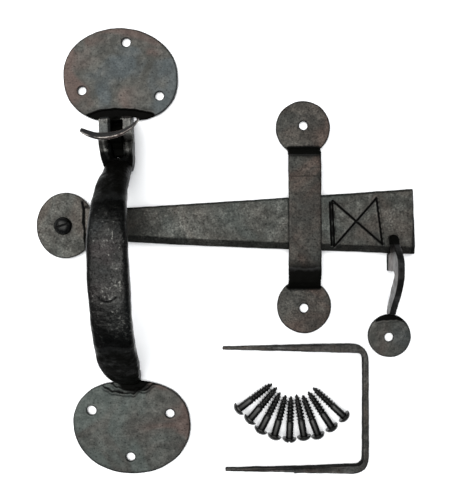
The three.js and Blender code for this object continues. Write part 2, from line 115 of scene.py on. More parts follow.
@dataclass(frozen=True)
class ForgedIron:
    """Mild steel forged by hand, blackened by the fire and rubbed with beeswax.

    The scale is near black, and where the wax is thin the grey metal shows in soft brown and bluish clouds.
    Hammer facets, fine pits and worn edges break up the satin shine. Painted shade darkens the hollows, dark edge
    colours paint shade on rims, and the attribute each piece gets from blacken turns the iron black and matte,
    mostly as painted shade.
    """

    name: str
    base: str
    rubbed: str
    warm: str
    cool: str
    # colour of the raised edges: a light one shows wear, a dark one is painted shade on the rims
    edge: str
    roughness: float = 0.5
    metallic: float = 0.94
    cloud_mm: float = 16.0
    blotch_mm: float = 5.0
    pit_mm: float = 1.3
    grit_mm: float = 0.9
    speckle: float = 0.42
    pit_depth_mm: float = 0.16
    grit_depth_mm: float = 0.05
    rub: float = 0.5
    edge_wear_and_shade: float = 0.5
    # how dark the hollows get: painted shade, with the wax that gathers there
    hollow_shade_and_wax: float = 0.9
    warmth: float = 0.35
    coolness: float = 0.25
    tone: float = 0.82
    flecks: float = 0.0
    drift: Point = (0.0, 0.0, 0.0)
    drift_from: Point = (0.0, 0.0, 0.0)
    pit_black: str = "#0d0c0c"
    hollow_shade_black: str = "#060606"
    # colour of the piece's attribute of painted shade and soot
    soot_black: str = "#060605"
    bare_fleck: str = "#7b7b75"
    rub_band: Span = (0.44, 0.62)
    warm_band: Span = (0.5, 0.68)
    cool_band: Span = (0.5, 0.34)
    pit_band: Span = (0.42, 0.3)
    grain_band: Span = (0.36, 0.64)
    fleck_band: Span = (0.55, 0.67)
    crest_band: Span = (0.515, 0.56)
    broken_band: Span = (0.38, 0.6)
    hollow_band: Span = (0.488, 0.455)
    soot_band: Span = (0.2, 1.0)
    soot_raggedness: float = 0.25
    matte_band: Span = (0.9, 1.0)
    wax_band: Span = (0.3, 0.7)

    def build(self) -> bpy.types.Material:
        """Makes the node material.

        Returns:
            The material, named for the metal and its finish.
        """
        material = bpy.data.materials.new(self.name)
        material.use_nodes = True
        tree = material.node_tree
        tree.nodes.clear()
        place = add_node(tree, "ShaderNodeTexCoord").outputs["Object"]
        cloud = self._noise(tree, place, self.cloud_mm, 3.0, 0.55, 0.6)
        blotch = self._noise(tree, place, self.blotch_mm, 5.0, 0.62, 0.2)
        tint = self._noise(tree, place, self.cloud_mm * 1.7, 2.0, 0.5, 0.9, offset=(3.1, 1.7, 0.4))
        pits = self._noise(tree, place, self.pit_mm, 3.0, 0.6, 0.0)
        grit = self._noise(tree, place, self.grit_mm, 2.0, 0.5, 0.0)

        rubbed = self._ramp(tree, self._blend(tree, cloud, blotch, 0.5), self.rub_band, self.rub)
        colour = self._mix(tree, linear(self.base), linear(self.rubbed), rubbed)
        tint = self._drifted(tree, tint, place)
        warm = self._ramp(tree, tint, self.warm_band, self.warmth)
        colour = self._mix(tree, colour, linear(self.warm), warm)
        cool = self._ramp(tree, tint, self.cool_band, self.coolness)
        colour = self._mix(tree, colour, linear(self.cool), cool)
        speck = self._ramp(tree, pits, self.pit_band, 0.55)
        colour = self._mix(tree, colour, linear(self.pit_black), speck)
        colour = self._speckled(tree, colour, pits, grit)
        # painted shade in the hollows, found by their curvature, with the wax there
        colour = self._shade_and_wax_in_hollows(tree, colour)
        # worn edges where the edge colour is light, painted shade on the rims where it is dark
        colour = self._worn_and_shaded_edges(tree, colour, blotch)
        if self.flecks > 0:
            bare = self._ramp(tree, self._blend(tree, pits, cloud, 0.35), self.fleck_band, self.flecks)
            colour = self._mix(tree, colour, linear(self.bare_fleck), bare)
        # painted shade and soot from the piece's attribute, black and matte where it is full
        soot = self._shade_and_soot_mask(tree, blotch)
        colour = self._mix(tree, colour, linear(self.soot_black), soot)
        metal = self._between(tree, soot, self.matte_band, self.metallic, 0.0)
        gloss = self._between(tree, soot, self.matte_band, 0.5, 0.01)
        rough = self._between(tree, blotch, self.wax_band, self.roughness + 0.1, self.roughness - 0.08)
        bump = self._bumps(tree, pits, grit)
        shader = add_node(tree, "ShaderNodeBsdfPrincipled", {
            "Base Color": colour, "Roughness": rough, "Metallic": metal,
            "Specular IOR Level": gloss, "Normal": bump})
        add_node(tree, "ShaderNodeOutputMaterial", {"Surface": shader.outputs[0]})
        return material

    def _noise(self, tree: bpy.types.NodeTree, place: bpy.types.NodeSocket, size_mm: float, detail: float,
               rough: float, distortion: float, offset: Point = (0.0, 0.0, 0.0)) -> bpy.types.NodeSocket:
        """One fractal pattern whose features are about size_mm across.

        Args:
            tree: The node tree.
            place: Object coordinates.
            size_mm: Size of the largest features.
            detail: Octaves.
            rough: Strength of the fine octaves.
            distortion: How far the pattern is stirred.
            offset: Shift of the pattern, in its own cells.

        Returns:
            The pattern's value, 0 to 1.
        """
        cells = 1.0 / (size_mm * MM)
        moved = add_node(tree, "ShaderNodeMapping", {
            "Vector": place, "Scale": (cells, cells, cells), "Location": offset}).outputs[0]
        return add_node(tree, "ShaderNodeTexNoise", {
            "Vector": moved, "Scale": 1.0, "Detail": detail, "Roughness": rough,
            "Distortion": distortion}).outputs["Fac"]

    def _ramp(self, tree: bpy.types.NodeTree, value: bpy.types.NodeSocket, band: Span,
              top: float) -> bpy.types.NodeSocket:
        """A soft step from 0 at one end of a band to top at its other end.

        Args:
            tree: The material's node tree.
            value: The value that is stepped.
            band: Where the step starts and ends. It falls where the first is the larger.
            top: What the step reaches.

        Returns:
            The stepped value.
        """
        return add_node(tree, "ShaderNodeMapRange", {
            "Value": value, "From Min": band[0], "From Max": band[1], "To Min": 0.0, "To Max": top},
            interpolation_type="SMOOTHSTEP").outputs[0]

    def _between(self, tree: bpy.types.NodeTree, value: bpy.types.NodeSocket, band: Span, first: float,
                 last: float) -> bpy.types.NodeSocket:
        """A straight change from one setting to another.

        Args:
            tree: The material's node tree.
            value: The value that drives the change.
            band: Where the change starts and ends.
            first: The setting at the start.
            last: The setting at the end.

        Returns:
            The setting.
        """
        return add_node(tree, "ShaderNodeMapRange", {
            "Value": value, "From Min": band[0], "From Max": band[1],
            "To Min": first, "To Max": last}).outputs[0]

    def _blend(self, tree: bpy.types.NodeTree, a: bpy.types.NodeSocket, b: bpy.types.NodeSocket,
               share: float) -> bpy.types.NodeSocket:
        """A weighted mean of two values."""
        return add_node(tree, "ShaderNodeMix", {0: share, 2: a, 3: b}, data_type="FLOAT").outputs[0]

    def _mix(self, tree: bpy.types.NodeTree, under: object, over: object,
             mask: bpy.types.NodeSocket) -> bpy.types.NodeSocket:
        """One colour laid over another through a mask."""
        return add_node(tree, "ShaderNodeMix", {0: mask, 6: under, 7: over}, data_type="RGBA").outputs[2]

    def _worn_and_shaded_edges(self, tree: bpy.types.NodeTree, colour: bpy.types.NodeSocket,
                      blotch: bpy.types.NodeSocket) -> bpy.types.NodeSocket:
        """Lays the edge colour on the raised edges in a broken line: a light one is wear where handling takes the
        wax off, a dark one is painted shade on the rims.

        Args:
            tree: The material's node tree.
            colour: The colour so far.
            blotch: The pattern that breaks the line.

        Returns:
            The colour with its worn and shaded edges.
        """
        raised = add_node(tree, "ShaderNodeNewGeometry").outputs["Pointiness"]
        crest = self._ramp(tree, raised, self.crest_band, self.edge_wear_and_shade)
        broken = self._ramp(tree, blotch, self.broken_band, 1.0)
        mask = add_node(tree, "ShaderNodeMath", {0: crest, 1: broken}, operation="MULTIPLY").outputs[0]
        return self._mix(tree, colour, linear(self.edge), mask)

    def _speckled(self, tree: bpy.types.NodeTree, colour: bpy.types.NodeSocket, pits: bpy.types.NodeSocket,
                  grit: bpy.types.NodeSocket) -> bpy.types.NodeSocket:
        """Lightens and darkens the colour grain by grain, as bare crests and waxed pits do.

        Args:
            tree: The material's node tree.
            colour: The colour so far.
            pits: The pattern of the pits.
            grit: The pattern of the grit.

        Returns:
            The speckled colour.
        """
        grain = self._blend(tree, pits, grit, 0.55)
        gain = self._between(tree, grain, self.grain_band,
                             self.tone * (1 - self.speckle), self.tone * (1 + self.speckle))
        return add_node(tree, "ShaderNodeVectorMath", {0: colour, 3: gain}, operation="SCALE").outputs[0]

    def _shade_and_wax_in_hollows(self, tree: bpy.types.NodeTree,
                       colour: bpy.types.NodeSocket) -> bpy.types.NodeSocket:
        """Blackens the inside corners and chisel cuts with painted shade, and with the scale and wax that gather
        there.

        Args:
            tree: The material's node tree.
            colour: The colour so far.

        Returns:
            The colour with its black hollows.
        """
        raised = add_node(tree, "ShaderNodeNewGeometry").outputs["Pointiness"]
        hollow = self._ramp(tree, raised, self.hollow_band, self.hollow_shade_and_wax)
        return self._mix(tree, colour, linear(self.hollow_shade_black), hollow)

    def _drifted(self, tree: bpy.types.NodeTree, tint: bpy.types.NodeSocket,
                 place: bpy.types.NodeSocket) -> bpy.types.NodeSocket:
        """Leans the brown and blue clouds to opposite ends, as uneven tempering heat does.

        Args:
            tree: The material's node tree.
            tint: The pattern of the clouds.
            place: Object coordinates.

        Returns:
            The leaning pattern.
        """
        from_middle = add_node(tree, "ShaderNodeVectorMath", {
            0: place, 1: tuple(v * MM for v in self.drift_from)}, operation="SUBTRACT").outputs[0]
        lean = add_node(tree, "ShaderNodeVectorMath", {0: from_middle, 1: self.drift},
                        operation="DOT_PRODUCT").outputs["Value"]
        return add_node(tree, "ShaderNodeMath", {0: tint, 1: lean}, operation="ADD").outputs[0]

    def _shade_and_soot_mask(self, tree: bpy.types.NodeTree, blotch: bpy.types.NodeSocket) -> bpy.types.NodeSocket:
        """How much painted shade and soot each point has: the piece's own attribute of them, with a ragged edge.

        Args:
            tree: The material's node tree.
            blotch: The pattern that makes the edge ragged.

        Returns:
            The shade and soot, 0 to 1.
        """
        laid = add_node(tree, "ShaderNodeAttribute", attribute_name="soot").outputs["Fac"]
        ragged = add_node(tree, "ShaderNodeMath", {0: blotch, 1: self.soot_raggedness, 2: laid},
                          operation="MULTIPLY_ADD")
        return self._ramp(tree, ragged.outputs[0], self.soot_band, 1.0)

    def _bumps(self, tree: bpy.types.NodeTree, pits: bpy.types.NodeSocket,
               grit: bpy.types.NodeSocket) -> bpy.types.NodeSocket:
        """Pits of the scale and the finer grit of the wax, as one bumped normal.

        Args:
            tree: The material's node tree.
            pits: The pattern of the pits.
            grit: The pattern of the grit.

        Returns:
            The bumped normal.
        """
        pitted = add_node(tree, "ShaderNodeBump", {
            "Height": pits, "Strength": 0.6, "Distance": self.pit_depth_mm * MM})
        return add_node(tree, "ShaderNodeBump", {
            "Height": grit, "Strength": 0.5, "Distance": self.grit_depth_mm * MM,
            "Normal": pitted.outputs[0]}).outputs[0]


# the plates' dark edge colour is painted shade on their rims
PLATE_IRON = dict(base="#393936", rubbed="#504f4b", warm="#503f3a", cool="#3c464b", edge="#1d1c1b",
                  cloud_mm=20.0, blotch_mm=4.0, warmth=0.5, coolness=0.4, edge_wear_and_shade=0.9, speckle=0.2,
                  roughness=0.46)


@dataclass(frozen=True)
class PaleFloor:
    """White painted board, matt and clean, so that it gives no pattern behind the iron."""

    name: str = "white_painted_board"
    colour: str = "#fdfdfd"
    roughness: float = 0.9

    def build(self) -> bpy.types.Material:
        """Makes the plain board material.

        Returns:
            The material.
        """
        material = bpy.data.materials.new(self.name)
        material.use_nodes = True
        shader = material.node_tree.nodes["Principled BSDF"]
        shader.inputs["Base Color"].default_value = linear(self.colour)
        shader.inputs["Roughness"].default_value = self.roughness
        return material


# ------------------------------------------------------------------ bench tools


def deselect_all() -> None:
    """Leaves no object selected, so that an operator acts on new work only."""
    for item in bpy.context.selected_objects:
        item.select_set(False)


def make_active(piece: bpy.types.Object) -> bpy.types.Object:
    """Makes a piece the only selected and active object.

    Args:
        piece: The piece.

    Returns:
        The same piece.
    """
    deselect_all()
    piece.select_set(True)
    bpy.context.view_layer.objects.active = piece
    return piece


def take_primitive(name: str) -> bpy.types.Object:
    """Names the primitive that was just added and bakes its place into its mesh.

    Args:
        name: Name of the object and its mesh.

    Returns:
        The primitive, alone selected.
    """
    piece = bpy.context.object
    piece.name = name
    piece.data.name = name
    bpy.ops.object.transform_apply(location=True, rotation=True, scale=True)
    return make_active(piece)


def disc(name: str, radius: float, low: float, high: float, at: Flat = (0.0, 0.0),
         stretch: Flat = (1.0, 1.0), sides: int = 72) -> bpy.types.Object:
    """A flat round blank that stands from one height to another.

    Args:
        name: Object name.
        radius: Radius before stretching.
        low: Height of the back.
        high: Height of the front.
        at: Centre in x and y.
        stretch: Scale along x and y.
        sides: Number of sides.

    Returns:
        The blank.
    """
    deselect_all()
    bpy.ops.mesh.primitive_cylinder_add(vertices=sides, radius=radius, depth=high - low,
                                        location=(at[0], at[1], (low + high) / 2),
                                        scale=(stretch[0], stretch[1], 1.0))
    return take_primitive(name)


def brick(name: str, low: Point, high: Point) -> bpy.types.Object:
    """A squared billet from its lowest to its highest corner.

    Args:
        name: Object name.
        low: Lowest corner.
        high: Highest corner.

    Returns:
        The billet.
    """
    deselect_all()
    size = [h - l for l, h in zip(low, high)]
    middle = [(h + l) / 2 for l, h in zip(low, high)]
    bpy.ops.mesh.primitive_cube_add(size=1.0, location=middle, scale=size)
    return take_primitive(name)


def apply_modifier(piece: bpy.types.Object, kind: str, **settings: object) -> bpy.types.Object:
    """Adds a modifier, sets it and applies it to the mesh.

    Args:
        piece: The piece.
        kind: The modifier's type, such as BEVEL.
        settings: Attributes of the modifier.

    Returns:
        The same piece.
    """
    make_active(piece)
    modifier = piece.modifiers.new(kind.lower(), kind)
    for name, value in settings.items():
        setattr(modifier, name, value)
    bpy.ops.object.modifier_apply(modifier=modifier.name)
    return piece


def cut(piece: bpy.types.Object, tool: bpy.types.Object) -> bpy.types.Object:
    """Cuts the tool's shape out of a piece and throws the tool away.

    Args:
        piece: The piece.
        tool: The closed shape that is taken out.

    Returns:
        The same piece.
    """
    apply_modifier(piece, "BOOLEAN", object=tool, operation="DIFFERENCE", solver="EXACT")
    bpy.data.objects.remove(tool)
    return piece


def punch(piece: bpy.types.Object, name: str, top: float, at: Flat) -> bpy.types.Object:
    """Punches a screw hole through a flat piece."""
    return cut(piece, disc(name, SCREW_HOLE_RADIUS, -2.0, top, at, sides=32))


def ease_corners(piece: bpy.types.Object, width: float) -> bpy.types.Object:
    """Rounds every sharp corner of a forging a little, before it is hammered."""
    return apply_modifier(piece, "BEVEL", width=width, segments=2, limit_method="ANGLE",
                          angle_limit=math.radians(40))


def open_for_editing(piece: bpy.types.Object) -> None:
    """Opens a piece in edit mode with all of it selected.

    Args:
        piece: The piece.
    """
    make_active(piece)
    bpy.ops.object.mode_set(mode="EDIT")
    bpy.ops.mesh.select_all(action="SELECT")


def close_facing_out() -> None:
    """Points all faces of the piece being edited outwards and leaves edit mode."""
    bpy.ops.mesh.select_all(action="SELECT")
    bpy.ops.mesh.normals_make_consistent(inside=False)
    bpy.ops.object.mode_set(mode="OBJECT")


def join(pieces: Sequence[bpy.types.Object]) -> bpy.types.Object:
    """Joins blanks that overlap into one object, which keeps the first one's name.

    Args:
        pieces: The blanks.

    Returns:
        The joined object.
    """
    deselect_all()
    for part in pieces:
        part.select_set(True)
    bpy.context.view_layer.objects.active = pieces[0]
    bpy.ops.object.join()
    return make_active(pieces[0])


def bevel_edges(piece: bpy.types.Object, chosen: Callable[[bmesh.types.BMEdge], bool], width: float,
                segments: int = 2) -> bpy.types.Object:
    """Rounds the chosen edges of a piece.

    Args:
        piece: The piece.
        chosen: Says whether an edge is rounded.
        width: Width of the bevel.
        segments: Steps across it.

    Returns:
        The same piece.
    """
    make_active(piece)
    bpy.ops.object.mode_set(mode="EDIT")
    bpy.ops.mesh.select_all(action="DESELECT")
    mesh = bmesh.from_edit_mesh(piece.data)
    for edge in mesh.edges:
        if chosen(edge):
            edge.select_set(True)
    bmesh.update_edit_mesh(piece.data)
    bpy.ops.mesh.bevel(offset=width, segments=segments, profile=0.5, clamp_overlap=True)
    bpy.ops.object.mode_set(mode="OBJECT")
    return piece


def at_height(height: float, fold: float = 0.7) -> Callable[[bmesh.types.BMEdge], bool]:
    """Picks the edges that lie at one height and fold sharply.

    Args:
        height: Height of the edges.
        fold: Smallest angle between the two faces' normals, in radians.

    Returns:
        The test that says whether an edge is picked.
    """
    def chosen(edge: bmesh.types.BMEdge) -> bool:
        """Whether an edge is level, at the height and sharp."""
        level = all(abs(v.co.z - height) < 1e-4 for v in edge.verts)
        return level and edge.calc_face_angle(0.0) > fold
    return chosen


def section(name: str, sides: int, squareness: float) -> bpy.types.Object:
    """A unit section that can be drawn out along a path: round at 2, nearly square at 8.

    Args:
        name: Object name.
        sides: Number of corners.
        squareness: Power of the superellipse.

    Returns:
        A flat face in the x-y plane, one unit to each side.
    """
    deselect_all()
    bpy.ops.mesh.primitive_circle_add(vertices=sides, radius=1.0, fill_type="NGON")
    blank = take_primitive(name)
    for vertex in blank.data.vertices:
        angle = math.atan2(vertex.co.y, vertex.co.x)
        c, s = math.cos(angle), math.sin(angle)
        vertex.co.x = math.copysign(abs(c) ** (2 / squareness), c)
        vertex.co.y = math.copysign(abs(s) ** (2 / squareness), s)
    return blank


def station(centre: Point, across: Point, out: Point, half_width: float, half_thickness: float) -> Matrix:
    """Where and how large a section is at one place along its path.

    Args:
        centre: Middle of the section.
        across: Direction of the section's width.
        out: Direction of its thickness.
        half_width: Half the width.
        half_thickness: Half the thickness.

    Returns:
        The matrix that puts the unit section there.
    """
    x, y = Vector(across).normalized(), Vector(out).normalized()
    z = x.cross(y)
    turn = Matrix((x * half_width, y * half_thickness, z)).transposed().to_4x4()
    return Matrix.Translation(Vector(centre)) @ turn


def draw_out(blank: bpy.types.Object, stations: Sequence[Matrix]) -> bpy.types.Object:
    """Draws a section out through its stations, as a closed bar.

    Args:
        blank: The unit section.
        stations: Where the section goes, one after another.

    Returns:
        The bar, with its faces outwards.
    """
    blank.data.transform(stations[0])
    open_for_editing(blank)
    for before, after in zip(stations, stations[1:]):
        bpy.ops.mesh.extrude_region()
        step = after @ before.inverted()
        mesh = bmesh.from_edit_mesh(blank.data)
        for vertex in mesh.verts:
            if vertex.select:
                vertex.co = step @ vertex.co
        bmesh.update_edit_mesh(blank.data)
    close_facing_out()
    return blank


def curve_points(points: Sequence[Sequence[float]], steps: int, fine: int = 24) -> list[Vector]:
    """Points on a smooth curve through the given ones, evenly spaced along it.

    Args:
        points: The points the curve passes through.
        steps: How many intervals to return.
        fine: Steps between two given points while the curve is measured.

    Returns:
        steps + 1 points.
    """
    knots = [Vector(p) for p in points]
    dense: list[Vector] = []
    for i in range(len(knots) - 1):
        before = knots[max(i - 1, 0)]
        after = knots[min(i + 2, len(knots) - 1)]
        a, b = knots[i], knots[i + 1]
        for j in range(fine):
            t = j / fine
            dense.append(0.5 * (2 * a + (b - before) * t + (2 * before - 5 * a + 4 * b - after) * t ** 2
                                + (3 * a - before - 3 * b + after) * t ** 3))
    dense.append(knots[-1])
    lengths = [0.0]
    for p, q in zip(dense, dense[1:]):
        lengths.append(lengths[-1] + (q - p).length)
    even, k = [], 0
    for i in range(steps + 1):
        goal = lengths[-1] * i / steps
        while k < len(dense) - 2 and lengths[k + 1] < goal:
            k += 1
        span = max(lengths[k + 1] - lengths[k], 1e-9)
        even.append(dense[k].lerp(dense[k + 1], min(1.0, (goal - lengths[k]) / span)))
    return even


def directions(points: Sequence[Vector]) -> list[Vector]:
    """Unit direction of travel at each point of a path."""
    last = len(points) - 1
    return [(points[min(i + 1, last)] - points[max(i - 1, 0)]).normalized() for i in range(last + 1)]


def smoothstep(value: float, low: float, high: float) -> float:
    """0 below low, 1 above high, and a soft rise between."""
    t = min(1.0, max(0.0, (value - low) / (high - low)))
    return t * t * (3 - 2 * t)


def reshape(piece: bpy.types.Object, move: Callable[[Vector], Vector]) -> bpy.types.Object:
    """Moves every point of a piece by a rule.

    Args:
        piece: The piece.
        move: Gives a point's new place.

    Returns:
        The same piece.
    """
    for vertex in piece.data.vertices:
        vertex.co = move(vertex.co)
    return piece


@dataclass(frozen=True)
class HammerWork:
    """How a hammer leaves the surface: soft planished facets and the coarser waves of the heat."""

    facet_mm: float = 7.0
    facet_depth: float = 0.22
    wave_mm: float = 22.0
    wave_depth: float = 0.35
    scale_mm: float = 2.2
    scale_depth: float = 0.07
    grain: float = 0.5
    soften: int = 3

    def work(self, piece: bpy.types.Object) -> bpy.types.Object:
        """Welds overlapping blanks into one skin, softens it and hammers it.

        Args:
            piece: A closed piece, in millimetres.

        Returns:
            The same piece.
        """
        apply_modifier(piece, "REMESH", mode="VOXEL", voxel_size=self.grain)
        apply_modifier(piece, "SMOOTH", factor=0.5, iterations=self.soften)
        self._strike(piece, "wave", "CLOUDS", self.wave_mm, self.wave_depth)
        self._strike(piece, "facet", "VORONOI", self.facet_mm, self.facet_depth)
        self._strike(piece, "scale", "CLOUDS", self.scale_mm, self.scale_depth)
        return piece

    def _strike(self, piece: bpy.types.Object, name: str, kind: str, size: float, depth: float) -> None:
        """Moves the surface in and out by one pattern.

        Args:
            piece: The piece.
            name: Name of the pattern.
            kind: Its texture type.
            size: Size of its cells.
            depth: How far it moves the surface.
        """
        if depth <= 0:
            return
        pattern = bpy.data.textures.new(f"{piece.name}_{name}", kind)
        pattern.noise_scale = size
        apply_modifier(piece, "DISPLACE", texture=pattern, texture_coords="LOCAL",
                       strength=depth * 2, mid_level=0.5)
        bpy.data.textures.remove(pattern)


def blacken(piece: bpy.types.Object, rule: Callable[[Vector, Vector], float]) -> bpy.types.Object:
    """Marks how far painted shade and soot darken each point of a piece.

    Args:
        piece: The piece, in millimetres.
        rule: Gives the shade and soot, 0 to 1, from a point and its normal.

    Returns:
        The same piece, with its attribute of painted shade and soot.
    """
    marks = piece.data.attributes.new("soot", "FLOAT", "POINT")
    marks.data.foreach_set("value", [rule(v.co, v.normal) for v in piece.data.vertices])
    return piece


def painted_rim_shade(n: Vector) -> float:
    """Painted shade on a rim: 0 on a face that lies flat and most on the sides, which turn away from the overhead
    light.
    """
    return 0.6 * smoothstep(1 - abs(n.z), 0.12, 0.45)


def near_line(p: Vector, line: Sequence[Sequence[float]], width: float) -> float:
    """How near a point is to a line seen from the front: 1 on it and 0 at half its width.

    Args:
        p: The point.
        line: The line's corners.
        width: Width of the line.

    Returns:
        The nearness, 0 to 1.
    """
    flat = Vector((p.x, p.y))
    best = 0.0
    for start, end in zip(line, line[1:]):
        a, b = Vector(start[:2]), Vector(end[:2])
        t = min(1.0, max(0.0, (flat - a).dot(b - a) / max((b - a).length_squared, 1e-9)))
        best = max(best, 1 - (flat - a.lerp(b, t)).length / (width * 0.5))
    return best


@dataclass(frozen=True)
class Lap:
    """A ragged line where the iron was set down and drawn out, with a low burr along it."""

    line: Line
    side: Side
    depth: float = 1.2
    burr: float = 0.3
    ragged: float = 0.5
    ragged_mm: float = 2.6
    fade: float = 3.0
    # painted shade on the part that is set down
    set_down_shade: float = 1.0
    front_above: float = 1.3
    floor: float = 0.6

    def offset(self, p: Vector) -> float:
        """How far a point is past the line, on the side that is set down.

        Args:
            p: The point.

        Returns:
            The distance, and -9 beside the line's ends.
        """
        first, last = self.line[0][0], self.line[-1][0]
        if not first < p.x < last:
            return -9.0
        for (x0, y0), (x1, y1) in zip(self.line, self.line[1:]):
            if x0 <= p.x <= x1:
                y = y0 + (y1 - y0) * (p.x - x0) / (x1 - x0)
                break
        wobble = noise.noise(Vector((p.x / self.ragged_mm, 3.7, 0.0))) * self.ragged
        return (p.y - y) * self.side.value + wobble

    def ends(self, p: Vector) -> float:
        """1 along the line and 0 at its two ends."""
        first, last = self.line[0][0], self.line[-1][0]
        return smoothstep(p.x - first, 0.0, self.fade) * smoothstep(last - p.x, 0.0, self.fade)

    def move(self, p: Vector) -> Vector:
        """Sets the front down past the line and raises the burr before it.

        Args:
            p: A point of the plate.

        Returns:
            Its new place.
        """
        if p.z < self.front_above:
            return p
        past = self.offset(p)
        drop = self.depth * smoothstep(past, -0.3, 0.5)
        burr = self.burr * math.exp(-((past + 0.9) / 0.8) ** 2)
        return Vector((p.x, p.y, max(p.z + (burr - drop) * self.ends(p), self.floor)))

    def soot(self, p: Vector) -> float:
        """Painted shade in the crevice, and as much as is given on the part that is set down.

        Args:
            p: The point.

        Returns:
            The painted shade, 0 to 1.
        """
        past = self.offset(p)
        crevice = math.exp(-((past - 0.2) / 0.45) ** 2)
        return max(crevice, self.set_down_shade * smoothstep(past, -0.5, 0.1)) * smoothstep(self.ends(p), 0.0, 0.3)


def drop_to_door(piece: bpy.types.Object) -> bpy.types.Object:
    """Flattens what hammering pushed below the door face, so that the back lies flat."""
    return reshape(piece, lambda p: Vector((p.x, p.y, max(p.z, 0.0))))


def finish_piece(piece: bpy.types.Object, material: bpy.types.Material, nodes: Iterable[str], body: str,
                 lean: bool = False, smooth_angle: float = 50.0) -> bpy.types.Object:
    """Turns a finished shape to metres, dresses it and hangs it on its body.

    Args:
        piece: The shape, in millimetres.
        material: Its finish.
        nodes: The CAD nodes it stands for.
        body: The body it moves with.
        lean: Whether it was modelled in the handle's own frame.
        smooth_angle: Edges sharper than this stay crisp, in degrees.

    Returns:
        The finished piece.
    """
    turn = Matrix.Rotation(HANDLE_LEAN, 4, "Z") if lean else Matrix.Identity(4)
    piece.data.transform(Matrix.Scale(MM, 4) @ turn)
    piece.data.materials.clear()
    piece.data.materials.append(material)
    make_active(piece)
    bpy.ops.object.shade_smooth_by_angle(angle=math.radians(smooth_angle))
    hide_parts(*nodes)
    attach(piece, body)
    LOG.info("%s: %d faces on %s", piece.name, len(piece.data.polygons), body)
    return piece


def copy_node(node: str, name: str) -> bpy.types.Object:
    """A merged copy of a CAD node in millimetres, ready to be worked on.

    Args:
        node: Name of the CAD node.
        name: Object name of the copy.

    Returns:
        The copy.
    """
    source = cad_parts[node]
    piece = source.copy()
    piece.data = source.data.copy()
    piece.name = name
    piece.parent = None
    for key in list(piece.keys()):
        del piece[key]
    bpy.context.scene.collection.objects.link(piece)
    piece.data.transform(Matrix.Scale(1 / MM, 4))
    open_for_editing(piece)
    bpy.ops.mesh.remove_doubles(threshold=1e-3)
    bpy.ops.object.mode_set(mode="OBJECT")
    return piece


# ---------------------------------------------------------------- the handle


@dataclass
class BeanPlate:
    """Bean-shaped fixing plate with three punched holes."""

    name: str
    half_width: float
    outer: float
    inner: float
    outer_power: float
    inner_power: float
    skew: float
    dent: float
    holes: Line
    at: Flat = (0.0, 0.0)
    turned: bool = False
    dent_spread: float = 11.0
    rim: float = 0.9

    def outline(self, angle: float) -> Flat:
        """The rim's x and y at an angle round the plate.

        Args:
            angle: The angle, in radians.

        Returns:
            The x and y.
        """
        c, s = math.cos(angle), math.sin(angle)
        power = self.outer_power if s > 0 else self.inner_power
        reach = self.outer if s > 0 else self.inner
        x = math.copysign(self.half_width * abs(c) ** (2 / power), c)
        y = math.copysign(reach * abs(s) ** (2 / power), s)
        hollow = self.dent * math.exp(-((x / self.dent_spread) ** 2)) if s < 0 else 0.0
        return x + self.skew * y, y + hollow

    def blank(self) -> bpy.types.Object:
        """The flat plate with its rounded rim and its holes, before hammering.

        Returns:
            The plate in its place.
        """
        deselect_all()
        bpy.ops.mesh.primitive_circle_add(vertices=96, radius=1.0, fill_type="NGON")
        plate = take_primitive(self.name)
        for vertex in plate.data.vertices:
            vertex.co.x, vertex.co.y = self.outline(math.atan2(vertex.co.y, vertex.co.x))
        open_for_editing(plate)
        bpy.ops.mesh.extrude_region_move(TRANSFORM_OT_translate={"value": (0, 0, PLATE_THICKNESS)})
        close_facing_out()
        bevel_edges(plate, at_height(PLATE_THICKNESS), self.rim, 3)
        for number, hole in enumerate(self.holes):
            punch(plate, f"punch_{number}", PLATE_THICKNESS + 2, hole)
        if self.turned:
            plate.data.transform(Matrix.Rotation(math.pi, 4, "Z"))
        plate.data.transform(Matrix.Translation((self.at[0], self.at[1], 0.0)))
        return plate


PLATE_HAMMER = HammerWork(facet_mm=8.0, facet_depth=0.16, wave_depth=0.3)


